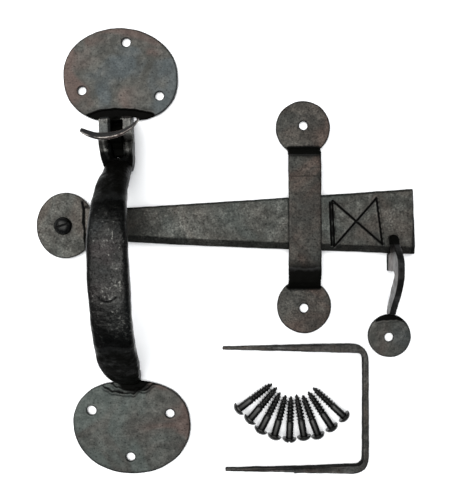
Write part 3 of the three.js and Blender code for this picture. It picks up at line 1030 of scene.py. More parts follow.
@dataclass
class Fork:
    """The slotted head that the grip ends in: two cheeks that hold the pin."""

    x: float = -0.9
    half_width: float = 9.7
    neck_top: float = -27.4
    height: float = 19.0
    drawn_down: float = 6.5
    drawn_span: Span = (50.0, 61.0)
    swell: float = 0.8
    swell_at: float = -44.2
    swell_reach: float = 5.0
    swell_heights: Span = (4.0, 12.0)
    swell_sides: Span = (5.0, 8.0)
    slot_half_width: float = 4.6
    mouth_slope: float = 0.7
    mouth_heights: Span = (15.0, 17.5)
    wall_foot: Point = (-38.0, 13.4, 14.2)
    wall_head: Point = (-31.6, 0.6, 8.0)
    # painted shade: the slot is black inside this box
    slot_shade_half_width: float = 3.8
    slot_shade_foot: float = -55.2
    slot_shade_front: float = 17.8
    flank_shade: float = 0.85
    flank_fold: Span = (0.4, 0.75)
    under_press_shade: float = 0.6
    press_span: Span = (42.0, 46.0)
    neck_shade: float = 0.92
    neck_span: Span = (55.5, 59.0)
    # a lighter line along the slot's lower rim, left free of the painted shade
    light_rim_line: Line = ((-8.4, -44.7), (-6.6, -53.2), (-5.0, -55.9), (4.4, -55.9), (6.4, -53.2),
                       (5.4, -45.4))
    light_rim_width: float = 1.9
    light_rim_gain: float = 1.5
    light_rim_above: float = 9.0

    def build(self, material: bpy.types.Material) -> None:
        """Builds the head, its corners rounded by the hammer.

        Args:
            material: The iron's finish.
        """
        fork = copy_node("thumb_fork", "slotted_fork")
        fork.data.transform(Matrix.Rotation(-HANDLE_LEAN, 4, "Z"))
        fork = ease_corners(join([fork, self._slot_end()]), 0.9)
        HammerWork(facet_mm=6.0, facet_depth=0.18, wave_depth=0.2, grain=0.4, soften=2).work(fork)
        drop_to_door(reshape(fork, self._hammered))
        # painted shade in the slot, below the press, down the neck and on the flanks
        blacken(fork, self._soot)
        finish_piece(fork, material, ["thumb_fork"], FIXED, lean=True)

    def _hammered(self, p: Vector) -> Vector:
        """Draws the lower end down to the grip, swells the cheeks and opens the slot's mouth.

        Args:
            p: A point of the head.

        Returns:
            Its new place.
        """
        off = abs(p.x - self.x)
        drawn = self.drawn_down * smoothstep(-p.y, *self.drawn_span) * max(p.z, 0.0) / self.height
        swell = (self.swell * math.exp(-((p.y - self.swell_at) / self.swell_reach) ** 2)
                 * smoothstep(p.z, *self.swell_heights))
        mouth = (max(0.0, self.slot_half_width - off) * smoothstep(p.z, *self.mouth_heights)
                 * self.mouth_slope)
        side = 1.0 if p.x > self.x else -1.0
        return Vector((p.x + side * swell * smoothstep(off, *self.swell_sides), p.y, p.z - drawn - mouth))

    def _soot(self, p: Vector, n: Vector) -> float:
        """Painted shade: black in the slot, darker below the press, down the neck and on the flanks, with a
        lighter line along the slot's lower rim left free of it.

        Args:
            p: A point of the surface.
            n: Its normal.

        Returns:
            The painted shade, 0 to 1.
        """
        if abs(p.x - self.x) < self.slot_shade_half_width and p.y > self.slot_shade_foot and p.z < self.slot_shade_front:
            return 1.0
        flank = self.flank_shade * smoothstep(1.0 - n.z, *self.flank_fold)
        below_press = self.under_press_shade * smoothstep(-p.y, *self.press_span)
        neck = self.neck_shade * smoothstep(-p.y, *self.neck_span)
        # the lighter rim line takes the painted shade off
        worn = min(1.0, self.light_rim_gain * near_line(p, self.light_rim_line, self.light_rim_width))
        return max(flank, below_press, neck) * (1 - (worn if p.z > self.light_rim_above else 0.0))

    def _slot_end(self) -> bpy.types.Object:
        """The slot's upper end wall, which slants down to the back, clear of the lever's tail.

        Returns:
            The wall, a billet that reaches into both cheeks.
        """
        half, foot_y, head_y = self.slot_half_width, self.wall_foot[0], self.wall_head[0]
        wall = brick("slot_end", (self.x - half, foot_y, 0.0), (self.x + half, head_y, 1.0))

        def slanted(p: Vector) -> Vector:
            """Gives a corner of the billet its height on the slanting wall."""
            _, low, high = self.wall_foot if p.y < (foot_y + head_y) / 2 else self.wall_head
            return Vector((p.x, p.y, high if p.z > 0.5 else low))

        return reshape(wall, slanted)


@dataclass
class Grip:
    """The bowed bar that the hand pulls, drawn out along its side-view curve."""

    path: Line = (
        (-58.0, 8.0), (-64.5, 17.0), (-73.0, 30.0), (-83.0, 39.8), (-96.0, 46.6), (-113.0, 49.6),
        (-132.0, 48.8), (-149.0, 45.4), (-162.0, 39.8), (-173.0, 31.6), (-181.0, 22.0),
        (-186.2, 13.0), (-190.6, 2.6))
    steps: int = 64
    top_half_width: float = 7.9
    belly_half_width: float = 11.5
    foot_half_width: float = 7.6
    widens: Span = (0.0, 0.47)
    narrows: Span = (0.8, 1.0)
    half_thickness: float = 4.3
    belly_thickening: float = 0.6
    top_x: float = -1.1
    foot_drift: float = 0.7
    lap: Line = ((-5.6, -136.2), (-3.2, -138.2), (0.6, -138.4), (3.6, -136.2))
    lap_depth: float = 0.45
    lap_width: float = 2.0
    lap_shade: float = 0.6
    lap_shade_width: float = 1.5
    front_above: float = 40.0
    bend_shade: float = 0.86
    upper_bend: Span = (112.0, 74.0)
    lower_bend: Span = (138.0, 172.0)
    side_shade: float = 0.5
    side_fold: Span = (0.35, 0.8)

    def build(self, material: bpy.types.Material) -> None:
        """Draws the bar out, hammers it and waxes it.

        Args:
            material: The iron's finish.
        """
        path = curve_points([(0.0, y, z) for y, z in self.path], self.steps)
        stations = []
        for k, (point, along) in enumerate(zip(path, directions(path))):
            t = k / self.steps
            wide, narrow = smoothstep(t, *self.widens), smoothstep(t, *self.narrows)
            half = self.top_half_width + (self.belly_half_width - self.top_half_width) * wide
            half += (self.foot_half_width - half) * narrow
            thick = self.half_thickness + self.belly_thickening * wide * (1 - narrow)
            out = Vector((0.0, along.z, -along.y))
            x = self.top_x + self.foot_drift * t
            stations.append(station((x, point.y, point.z), (1.0, 0.0, 0.0), out, half, thick))
        grip = draw_out(section("bowed_grip", 32, 3.3), stations)
        HammerWork(facet_mm=9.0, facet_depth=0.24, wave_mm=28.0, wave_depth=0.45, scale_mm=2.6,
                   scale_depth=0.14, grain=0.5, soften=2).work(grip)
        reshape(grip, self._lapped)
        # painted shade in the bends, down the sides and in the lap's crease
        blacken(grip, self._soot)
        finish_piece(grip, material, ["handle_grip"], FIXED, lean=True)

    def _lapped(self, p: Vector) -> Vector:
        """Folds a shallow crescent into the front, where scale was hammered in."""
        depth = self.lap_depth * near_line(p, self.lap, self.lap_width)
        return Vector((p.x, p.y, p.z - depth)) if p.z > self.front_above else p

    def _soot(self, p: Vector, n: Vector) -> float:
        """Painted shade in both bends, where the bar turns away from the light, down the two sides and in the
        lap's crease; the front between the bends stays lighter.

        Args:
            p: A point of the surface.
            n: Its normal.

        Returns:
            The painted shade, 0 to 1.
        """
        bends = max(smoothstep(-p.y, *self.upper_bend), smoothstep(-p.y, *self.lower_bend))
        sides = smoothstep(1.0 - abs(n.z), *self.side_fold)
        crease = self.lap_shade * near_line(p, self.lap, self.lap_shade_width)
        return max(self.bend_shade * bends, self.side_shade * sides, crease if p.z > self.front_above else 0.0)


@dataclass
class Handle:
    """Pull handle: two bean plates, the fork with its pin, and the bowed grip."""

    upper: BeanPlate = field(default_factory=lambda: BeanPlate(
        "upper_bean_plate", 35.9, 29.0, 30.2, 1.96, 2.5, -0.033, 1.5,
        ((4.3, 19.6), (-24.2, -9.8), (24.2, -14.6))))
    lower: BeanPlate = field(default_factory=lambda: BeanPlate(
        "lower_bean_plate", 36.6, 31.0, 27.2, 2.1, 2.3, -0.045, 0.8,
        ((25.0, -9.2), (-24.1, -5.7), (1.3, 20.7)), at=(0.6, -219.3), turned=True))
    fork: Fork = field(default_factory=Fork)
    grip: Grip = field(default_factory=Grip)
    seat_gap: float = 0.3
    groove: Lap = Lap(
        ((-23.0, -25.6), (-12.9, -22.4), (-4.0, -21.8), (7.6, -22.6), (18.9, -25.2), (21.5, -26.2)),
        Side.BELOW, depth=1.5, ragged=0.25)
    weld: Lap = Lap(
        ((-18.0, -194.4), (-14.1, -197.0), (-7.4, -199.3), (2.3, -199.8), (9.3, -197.9), (18.0, -194.0)),
        Side.ABOVE, depth=0.7, burr=0.5, ragged=2.4, ragged_mm=3.4, set_down_shade=0.2)
    inner_weld: Lap = Lap(
        ((-13.0, -192.6), (-9.5, -195.4), (-3.4, -197.6), (3.3, -197.6), (9.3, -195.6), (14.0, -192.6)),
        Side.ABOVE, depth=0.5, burr=0.4, ragged=1.6, set_down_shade=0.3)
    lug: tuple[Point, Point] = ((-7.6, -199.3, 0.0), (6.8, -185.9, PLATE_THICKNESS))
    # where the painted shadow round the grip's foot lies
    foot_at: Flat = (2.2, -193.6)
    foot_reach: Flat = (10.0, 6.2)
    foot_spread: float = 1.25
    foot_fade: Span = (0.1, 0.5)
    pin_at: Point = (-1.5, -44.2, 13.5)
    pin_radius: float = 2.2
    pin_half_length: float = 10.6
    pin_soot: float = 0.8
    pin_profile: Line = ((-1.0, 0.45), (-0.975, 0.8), (-0.93, 1.1), (-0.9, 1.0), (0.9, 1.0), (0.93, 1.1),
                         (0.975, 0.8), (1.0, 0.45))

    def build(self) -> None:
        """Builds every piece of the handle."""
        plate_iron = ForgedIron("blackened_forged_plate_iron", **PLATE_IRON, drift=(-4.0, 2.0, 0.0),
                                drift_from=(8.0, 4.0, 0.0))
        lower_iron = ForgedIron("blackened_forged_foot_plate_iron", **{**PLATE_IRON, "cool": "#48524f"},
                                drift=(4.0, 0.5, 0.0), drift_from=(10.0, -219.0, 0.0))
        grip_iron = ForgedIron(
            "beeswaxed_forged_grip_iron", base="#222221", rubbed="#3a3a38", warm="#33292a", cool="#262c2e",
            edge="#2c2c2b", roughness=0.34, metallic=0.98, cloud_mm=22.0, pit_mm=1.8, pit_depth_mm=0.3,
            rub=0.7, edge_wear_and_shade=0.3, flecks=0.5, warmth=0.2, coolness=0.2)
        fork_iron = ForgedIron(
            "beeswaxed_forged_fork_iron", base="#3a3a38", rubbed="#5d5c58", warm="#4a413e", cool="#3d4345",
            edge="#8a877f", roughness=0.3, metallic=0.98, cloud_mm=9.0, pit_mm=1.6, pit_depth_mm=0.22,
            rub=0.6, edge_wear_and_shade=0.7, warmth=0.2, coolness=0.2)
        self._upper_plate(plate_iron.build())
        self._lower_plate(lower_iron.build())
        iron = fork_iron.build()
        self.fork.build(iron)
        self._pin(iron)
        self.grip.build(grip_iron.build())

    def _upper_plate(self, material: bpy.types.Material) -> None:
        """The upper plate, set down in a crescent where it was drawn into the fork.

        Args:
            material: The iron's finish.
        """
        plate = self.upper.blank()
        seat = self.fork.half_width + self.seat_gap
        notch = brick("fork_seat", (self.fork.x - seat, -60.0, -2.0),
                      (self.fork.x + seat, self.fork.neck_top + self.seat_gap, 6.0))
        cut(plate, notch)
        PLATE_HAMMER.work(plate)
        drop_to_door(reshape(plate, self.groove.move))
        # painted shade in the groove's crevice, on the set-down part below it and on the rims
        blacken(plate, lambda p, n: max(self.groove.soot(p), painted_rim_shade(n)) if p.z > FRONT_ONLY else 0.0)
        finish_piece(plate, material, ["upper_plate"], FIXED, lean=True)

    def _lower_plate(self, material: bpy.types.Material) -> None:
        """The lower plate, with the ragged lap of the forge weld round the grip's foot.

        Args:
            material: The iron's finish.
        """
        plate = join([self.lower.blank(), brick("weld_lug", *self.lug)])
        PLATE_HAMMER.work(plate)
        drop_to_door(reshape(reshape(plate, self.weld.move), self.inner_weld.move))
        # painted shade in the laps and on the rims, and a painted shadow round the grip's foot
        blacken(plate, self._foot_shade)
        finish_piece(plate, material, ["lower_plate"], FIXED, lean=True)

    def _foot_shade(self, p: Vector, n: Vector) -> float:
        """Painted shade in both laps' crevices and on the rims, and a painted shadow close round the grip's foot.

        Args:
            p: A point of the surface.
            n: Its normal.

        Returns:
            The painted shade, 0 to 1.
        """
        away = math.hypot((p.x - self.foot_at[0]) / self.foot_reach[0],
                          (p.y - self.foot_at[1]) / self.foot_reach[1])
        round_foot = smoothstep(self.foot_spread - away, *self.foot_fade)
        return max(self.weld.soot(p), self.inner_weld.soot(p), round_foot, painted_rim_shade(n))

    def _pin(self, material: bpy.types.Material) -> None:
        """The pin, its ends riveted over to low domes.

        Args:
            material: The iron's finish.
        """
        x, y, z = self.pin_at
        across, out = (0.0, 1.0, 0.0), (0.0, 0.0, 1.0)
        stations = [station((x + s * self.pin_half_length, y, z), across, out,
                            self.pin_radius * r, self.pin_radius * r) for s, r in self.pin_profile]
        pin = blacken(draw_out(section("riveted_pin", 24, 2.0), stations), lambda p, n: self.pin_soot)
        finish_piece(pin, material, ["thumb_pin"], FIXED, lean=True)


@dataclass
class ThumbLever:
    """The dished press and the lever that it is forged on."""

    pin_y: float = -44.2
    root: float = 19.6
    lip: float = 41.0
    tip_set_back: float = 3.2
    root_half_width: float = 3.0
    half_width: float = 16.7
    dish_radius: float = 22.5
    rise: float = 3.0
    droop: float = 7.1
    half_thickness: float = 0.85
    roll: float = math.radians(8)
    widens: Span = (0.08, 0.78)
    droop_power: float = 1.7
    edge_thinning: float = 0.65

    def build(self) -> None:
        """Builds the press and the lever."""
        press_iron = ForgedIron(
            "rubbed_forged_press_iron", base="#2c2a2a", rubbed="#5a504c", warm="#6b534b", cool="#3b4042",
            edge="#b3aca4", roughness=0.42, rub=0.6, edge_wear_and_shade=0.85, warmth=0.5)
        # the lever's near-black iron is painted shade: it sits deep in the fork's slot
        lever_iron = ForgedIron(
            "blackened_forged_lever_iron", base="#0d0d0d", rubbed="#171717", warm="#181413", cool="#121516",
            edge="#2c2b2a", roughness=0.45)
        self._press(press_iron.build())
        self._lever(lever_iron.build())

    def _press(self, material: bpy.types.Material) -> None:
        """The dished leaf, made from a sheet that widens out of the slot and droops to its lip.

        Args:
            material: The iron's finish.
        """
        deselect_all()
        bpy.ops.mesh.primitive_grid_add(x_subdivisions=48, y_subdivisions=30, size=2.0)
        press = take_primitive("thumb_press_leaf")

        def dish(p: Vector) -> Vector:
            """Puts a point of the flat sheet on the dished leaf.

            Args:
                p: A point of the sheet.

            Returns:
                Its place on the leaf.
            """
            u, s = p.x, (p.y + 1) / 2
            grow = smoothstep(s, *self.widens)
            across = u * (self.root_half_width + (self.half_width - self.root_half_width) * grow)
            curl = self.dish_radius - math.sqrt(self.dish_radius ** 2 - across ** 2)
            y = self.rise - self.droop * s ** self.droop_power + curl
            z = self.root + (self.lip - self.tip_set_back * u * u - self.root) * s
            c, n = math.cos(self.roll), math.sin(self.roll)
            return Vector((across * c - y * n, self.pin_y + across * n + y * c, z))

        leaf = press.vertex_groups.new(name="leaf")
        for vertex in press.data.vertices:
            leaf.add([vertex.index], 1 - self.edge_thinning * vertex.co.x ** 2, "REPLACE")
        reshape(press, dish)
        apply_modifier(press, "SOLIDIFY", thickness=2 * self.half_thickness, offset=0.0,
                       vertex_group="leaf", thickness_vertex_group=0.0, use_even_offset=True)
        open_for_editing(press)
        close_facing_out()
        HammerWork(facet_mm=6.0, facet_depth=0.1, wave_depth=0.12, scale_depth=0.04, grain=0.35,
                   soften=2).work(press)
        finish_piece(press, material, ["thumb_press"], LEVER, lean=True)

    def _lever(self, material: bpy.types.Material) -> None:
        """The boss, the arm under the press and the tail through the door.

        Args:
            material: The iron's finish.
        """
        lever = copy_node("thumb_lever", "lever_with_tail")
        lever.data.transform(Matrix.Rotation(-HANDLE_LEAN, 4, "Z"))
        ease_corners(lever, 0.4)
        HammerWork(facet_depth=0.08, wave_depth=0.08, scale_depth=0.04, grain=0.4, soften=2).work(lever)
        # painted shade over the whole lever
        blacken(lever, lambda p, n: 0.9)
        finish_piece(lever, material, ["thumb_lever"], LEVER, lean=True)


# -------------------------------------------------------------- bar, guide, catch


@dataclass
class LatchBar:
    """Tapered bar, bevelled along both edges, with its pivot disc and an incised cross."""

    pivot: Flat = (-35.2, -95.3)
    back: float = 0.4
    front: float = 6.2
    shoulder: float = 14.0
    end: float = 218.1
    end_slant: float = 0.04
    upper: Flat = (9.0, 0.064)
    lower: Flat = (-8.1, -0.043)
    upper_sag: float = 0.35
    lower_bulge: float = 0.6
    shoulder_flare: float = 2.0
    upper_bevel: float = 1.5
    lower_bevel: float = 4.4
    bevel_drop: float = 2.2
    disc_half: Flat = (18.3, 20.5)
    disc_at: Flat = (1.4, 0.3)
    disc_front: float = 3.9
    bore: float = 3.1
    cross: tuple[tuple[float, float, float, float], ...] = (
        (132.1, -80.0, 133.4, -108.4), (159.4, -78.1, 163.2, -107.0),
        (132.5, -79.9, 163.0, -106.6), (159.3, -78.4, 133.6, -108.0), (130.6, -81.0, 131.7, -107.6))
    shoulder_line: Line = (
        (-23.2, -80.7), (-22.2, -86.1), (-22.8, -92.6), (-21.4, -98.0), (-22.0, -103.3), (-21.2, -105.8),
        (-20.9, -110.0))
    cross_width: float = 1.25
    cross_depth: float = 0.85
    cross_lip: float = 0.16
    cross_shade: float = 1.7
    shoulder_shadow: float = 1.6
    shoulder_shadow_mm: float = 3.0
    bevel_shade: float = 0.35
    bevel_tilt: Span = (0.25, 0.4)
    bevel_front: Span = (0.5, 0.7)
    grip_shade: float = 0.42
    grip_shade_rise: Span = (-20.0, -14.0)
    grip_shade_fade: Span = (-45.0, -5.0)
    tip_darkening: float = 0.8
    tip_span: Span = (184.6, 186.2)
    front_above: float = 3.0

    def build(self) -> None:
        """Builds the bar as one piece."""
        # the bar's dark edge colour is painted shade on its rims
        iron = ForgedIron(
            "blackened_forged_bar_iron", base="#31312e", rubbed="#4d4d49", warm="#473e38", cool="#39413f",
            edge="#171716", roughness=0.43, cloud_mm=18.0, edge_wear_and_shade=0.9, flecks=0.2, speckle=0.4)
        bar = join([self._shaft(), self._pivot_disc()])
        bar.name = "latch_bar_forging"
        cut(bar, disc("pivot_bore", self.bore, -3.0, 12.0, sides=32))
        bar.data.transform(Matrix.Translation((self.pivot[0], self.pivot[1], 0.0)))
        HammerWork(facet_mm=9.0, facet_depth=0.13, wave_mm=26.0, wave_depth=0.22, grain=0.42,
                   soften=2).work(bar)
        reshape(bar, self._chisel)
        reshape(bar, lambda p: Vector((p.x, p.y, max(p.z, self.back))))
        # painted shade in the cuts, on the low bevel and by the grip, and a painted shadow along the shoulder
        blacken(bar, self._soot)
        finish_piece(bar, iron.build(), ["latch_bar"], BAR)

    def _soot(self, p: Vector, n: Vector) -> float:
        """Painted shade in the chisel cuts, a painted shadow along the shoulder, painted shade on the low bevel,
        which faces away from the light, and by the grip; darker at the free end.

        Args:
            p: A point of the surface.
            n: Its normal.

        Returns:
            The painted shade, 0 to 1.
        """
        if p.z <= self.front_above:
            return 0.0
        cuts = max(near_line(p, ((x0, y0), (x1, y1)), self.cross_width) for x0, y0, x1, y1 in self.cross)
        ragged = self.shoulder_shadow_mm + noise.noise(p / 2.4)
        shoulder = min(1.0, self.shoulder_shadow * near_line(p, self.shoulder_line, ragged))
        bevel = self.bevel_shade * smoothstep(-n.y, *self.bevel_tilt) * smoothstep(n.z, *self.bevel_front)
        by_grip = (self.grip_shade * smoothstep(p.x, *self.grip_shade_rise)
                   * smoothstep(-p.x, *self.grip_shade_fade))
        tip = self.tip_darkening * smoothstep(p.x - self.end_slant * p.y, *self.tip_span)
        return max(min(1.0, self.cross_shade * cuts), shoulder, bevel, by_grip, tip)

    def _shaft(self) -> bpy.types.Object:
        """The tapered shaft: a billet whose front edges are drawn down to a wide and a narrow bevel.

        Returns:
            The shaft, its pivot at the origin.
        """
        deselect_all()
        bpy.ops.mesh.primitive_circle_add(vertices=6, radius=1.0, fill_type="NGON")
        shaft = take_primitive("shaft")
        steps = 16
        corners = self._corners(0.0)
        order = sorted(shaft.data.vertices, key=lambda v: math.atan2(v.co.y, v.co.x))
        for vertex, corner in zip(order, corners):
            vertex.co = corner
        open_for_editing(shaft)
        for step in range(1, steps + 1):
            old, new = self._corners((step - 1) / steps), self._corners(step / steps)
            bpy.ops.mesh.extrude_region()
            mesh = bmesh.from_edit_mesh(shaft.data)
            for vertex in mesh.verts:
                if vertex.select:
                    nearest = min(range(6), key=lambda i: (old[i] - vertex.co).length)
                    vertex.co = new[nearest]
            bmesh.update_edit_mesh(shaft.data)
        close_facing_out()
        return shaft

    def _corners(self, k: float) -> list[Vector]:
        """The six corners of the shaft's section, from 0 at the shoulder to 1 at the free end.

        Args:
            k: How far along the shaft, 0 to 1.

        Returns:
            The corners, one after another round the section.
        """
        x = self.shoulder + (self.end - self.shoulder) * k
        bow = math.sin(math.pi * k)
        flare = self.shoulder_flare * max(0.0, 1 - k * 16)
        top = self.upper[0] + self.upper[1] * x - self.upper_sag * bow + flare
        low = self.lower[0] + self.lower[1] * x - self.lower_bulge * bow
        section_points = [
            (low, self.back), (top, self.back), (top, self.front - self.upper_bevel / 2),
            (top - self.upper_bevel, self.front), (low + self.lower_bevel, self.front),
            (low, self.front - self.bevel_drop)]
        return [Vector((x - k * self.end_slant * y, y, z)) for y, z in section_points]

    def _pivot_disc(self) -> bpy.types.Object:
        """The thin oval disc that the pivot screw goes through."""
        blank = disc("pivot_disc", 1.0, self.back, self.disc_front, self.disc_at, self.disc_half)
        return bevel_edges(blank, at_height(self.disc_front), 0.7)

    def _chisel(self, p: Vector) -> Vector:
        """Cuts the cross and its two end lines into the front as V grooves.

        Args:
            p: A point of the bar.

        Returns:
            Its new place.
        """
        if p.z < self.front - 1.8:
            return p
        depth = lip = 0.0
        for x0, y0, x1, y1 in self.cross:
            a, b = Vector((x0, y0)), Vector((x1, y1))
            flat = Vector((p.x, p.y))
            t = min(1.0, max(0.0, (flat - a).dot(b - a) / (b - a).length_squared))
            away = (flat - a.lerp(b, t)).length
            depth = max(depth, self.cross_depth * (1 - away / (self.cross_width * 0.5)))
            lip = max(lip, self.cross_lip * math.exp(-((away - 0.95) / 0.3) ** 2))
        return Vector((p.x, p.y, p.z - depth + (lip if depth <= 0 else 0.0)))


@dataclass
class BarGuide:
    """Strap that steps out over the bar, with a round screw plate at each end."""

    at: Flat = (114.8, -89.6)
    lean: float = math.radians(0.36)
    strap_half_width: float = 10.15
    disc_radius: float = 17.0
    disc_y: Flat = (-33.8, -145.5)
    holes: Line = ((0.2, -32.4), (0.0, -146.8))
    thickness: float = 2.6
    strap_line: Line = (
        (-39.2, 1.3), (-45.5, 1.3), (-47.4, 2.6), (-48.8, 5.6), (-50.6, 7.6), (-54.0, 8.3), (-60.0, 8.5),
        (-66.5, 8.5), (-90.4, 8.4), (-113.0, 8.4), (-120.0, 7.9), (-126.5, 7.1), (-129.8, 6.3),
        (-131.8, 4.8), (-133.4, 2.4), (-135.3, 1.3), (-141.6, 1.3))
    upper_joggle: tuple[Span, Span] = ((-55.0, -51.0), (45.4, 46.6))
    lower_joggle: tuple[Span, Span] = ((110.0, 125.0), (-135.2, -134.0))
    upper_crease: Line = ((100.0, -65.3), (130.0, -64.6))
    lower_crease: Line = ((100.0, -107.5), (130.0, -108.6))
    strap_ends: tuple[Span, Span] = ((46.0, 47.0), (-135.0, -134.0))
    worn_and_lit_bend: tuple[Span, Span] = ((-62.5, -60.0), (55.0, 57.0))
    joggle_shade: float = 0.9
    crease_shade: float = 0.7
    strap_darkening: float = 0.3

    def build(self) -> None:
        """Builds the guide as one forging."""
        # the guide's dark edge colour is painted shade on its rims
        iron = ForgedIron(
            "brown_waxed_forged_strap_iron", base="#302e2b", rubbed="#48443f", warm="#483a34",
            cool="#363b39", edge="#161413", roughness=0.45, cloud_mm=14.0, warmth=0.4, edge_wear_and_shade=0.9, speckle=0.5)
        guide = join([self._strap()] + [self._screw_plate(k, y) for k, y in enumerate(self.disc_y)])
        for number, (x, y) in enumerate(self.holes):
            punch(guide, f"guide_punch_{number}", 6.0, (x, y - self.at[1]))
        guide.data.transform(Matrix.Translation((self.at[0], self.at[1], 0.0))
                             @ Matrix.Rotation(self.lean, 4, "Z"))
        HammerWork(facet_mm=6.5, facet_depth=0.14, wave_mm=20.0, wave_depth=0.25, grain=0.45,
                   soften=2).work(guide)
        drop_to_door(guide)
        # painted shade in the joggles, the creases and on the rims
        blacken(guide, self._soot)
        finish_piece(guide, iron.build(), ["bar_guide"], FIXED)

    def _soot(self, p: Vector, n: Vector) -> float:
        """Painted shade in both joggles, in the faint creases where the strap begins to bend and on the rims; the
        strap is a little darker between its ends, but for a lighter band on the upper bend, a painted highlight
        with wear.

        Args:
            p: A point of the surface.
            n: Its normal.

        Returns:
            The painted shade, 0 to 1.
        """
        rim = painted_rim_shade(n)
        if abs(p.x - self.at[0]) >= self.strap_half_width + 0.8:
            return rim
        (upper, upper_end), (lower, lower_end) = self.upper_joggle, self.lower_joggle
        joggles = max(smoothstep(p.y, *upper) * smoothstep(-p.y, *upper_end),
                      smoothstep(-p.y, *lower) * smoothstep(p.y, *lower_end))
        creases = max(near_line(p, self.upper_crease, 1.6), 0.7 * near_line(p, self.lower_crease, 1.4))
        # a lighter band on the upper bend: painted highlight, with wear
        bare = smoothstep(p.y, *self.worn_and_lit_bend[0]) * smoothstep(-p.y, *self.worn_and_lit_bend[1])
        strap = smoothstep(-p.y, *self.strap_ends[0]) * smoothstep(p.y, *self.strap_ends[1])
        return max(self.joggle_shade * joggles, self.crease_shade * creases,
                   self.strap_darkening * (1.0 - bare) * strap, rim)

    def _strap(self) -> bpy.types.Object:
        """The strap with its two joggles.

        Returns:
            The closed strap.
        """
        points = [Vector((0.0, y - self.at[1], z)) for y, z in self.strap_line]
        stations = []
        for point, along in zip(points, directions(points)):
            out = Vector((0.0, -along.z, along.y)) * -1.0
            half = self.strap_half_width
            stations.append(station(point, (1.0, 0.0, 0.0), out, half, self.thickness / 2 + 0.08))
        return draw_out(section("guide_forging", 24, 9.0), stations)

    def _screw_plate(self, number: int, y: float) -> bpy.types.Object:
        """One round end of the guide."""
        blank = disc(f"guide_disc_{number}", self.disc_radius, 0.0, self.thickness, (0.0, y - self.at[1]))
        return bevel_edges(blank, at_height(self.thickness), 0.7)


@dataclass
class Catch:
    """Round plate with a bowed strip on edge, which ends in the shelf and nose that hold the bar."""

    disc_at: Flat = (168.7, -164.1)
    disc_radius: float = 13.45
    hole: Flat = (168.4, -164.9)
    thickness: float = 2.6
    crease: Lap = Lap(((159.5, -155.2), (164.0, -153.9), (173.0, -153.7), (179.5, -155.6)), Side.ABOVE,
                      depth=0.8, burr=0.2, ragged=0.4, fade=1.5)
    shelf_low: float = -124.0
    nose_at: Flat = (169.25, -102.6)
    nose_span: Span = (-109.0, -103.5)
    nose_swell: float = 0.32
    nose_rounding: float = 0.9
    nose_half_width: float = 2.6
    nose_darkening: float = 0.95
    nose_darkening_span: Span = (-110.0, -106.0)
    shelf_heights: Span = (4.0, 5.0)
    # painted shade on the strip's up-facing edge
    top_edge_shade: float = 0.75
    edge_fold: Span = (0.2, 0.5)
    near_board_shade: float = 0.3
    foot_below: float = 3.0

    def build(self) -> None:
        """Builds the plate and the hook."""
        plate_iron = ForgedIron("blackened_forged_catch_plate_iron",
                                **{**PLATE_IRON, "warmth": 0.25, "coolness": 0.2})
        hook_iron = ForgedIron(
            "brown_waxed_forged_hook_iron", base="#3a3735", rubbed="#565250", warm="#57473f",
            cool="#474d4f", edge="#6f6b67", roughness=0.36, edge_wear_and_shade=0.4)
        plate = disc("catch_disc", self.disc_radius, 0.0, self.thickness, self.disc_at)
        bevel_edges(plate, at_height(self.thickness), 0.7)
        punch(plate, "catch_punch", 6.0, self.hole)
        HammerWork(facet_mm=6.0, facet_depth=0.12, wave_depth=0.15, grain=0.4, soften=2).work(plate)
        drop_to_door(reshape(plate, self.crease.move))
        # painted shade in the crease and on the rims
        blacken(plate, lambda p, n: max(self.crease.soot(p), painted_rim_shade(n)) if p.z > FRONT_ONLY else 0.0)
        finish_piece(plate, plate_iron.build(), ["catch_plate"], FIXED)
        hook = ease_corners(copy_node("catch_hook", "catch_hook_strip"), 0.5)
        HammerWork(facet_mm=5.0, facet_depth=0.1, wave_depth=0.12, scale_depth=0.05, grain=0.35,
                   soften=2).work(hook)
        drop_to_door(hook)
        # painted shade on the hook's up-facing edge, at the shelf's foot and near the board
        blacken(reshape(hook, self._round_nose), self._soot)
        finish_piece(hook, hook_iron.build(), ["catch_hook"], FIXED)

    def _round_nose(self, p: Vector) -> Vector:
        """Upsets the strip's free end into a thicker, rounder nose.

        Args:
            p: A point of the strip.

        Returns:
            Its new place.
        """
        near = smoothstep(p.y, *self.nose_span)
        x, y = self.nose_at
        across = (p.x - x) * (1 + self.nose_swell * near)
        off = min(1.0, (across / self.nose_half_width) ** 2)
        back = self.nose_rounding * near * off * smoothstep(p.y, y - 1.5, y + 1.0)
        return Vector((x + across, p.y - back, p.z))

    def _soot(self, p: Vector, n: Vector) -> float:
        """Painted shade on the strip's up-facing edge, at the foot of the shelf and low down by the board; darker
        at the nose.

        Args:
            p: A point of the surface.
            n: Its normal.

        Returns:
            The painted shade, 0 to 1.
        """
        # painted shadow at the foot of the shelf, where it meets the board
        shelf_foot = 1.0 - smoothstep(p.z, *self.shelf_heights) if p.y > self.shelf_low else 0.0
        nose = self.nose_darkening * smoothstep(p.y, *self.nose_darkening_span)
        edge = self.top_edge_shade * smoothstep(n.z, *self.edge_fold)
        return max(shelf_foot, nose, edge if p.z > self.foot_below else self.near_board_shade)


# ------------------------------------------------------------ staple and screws


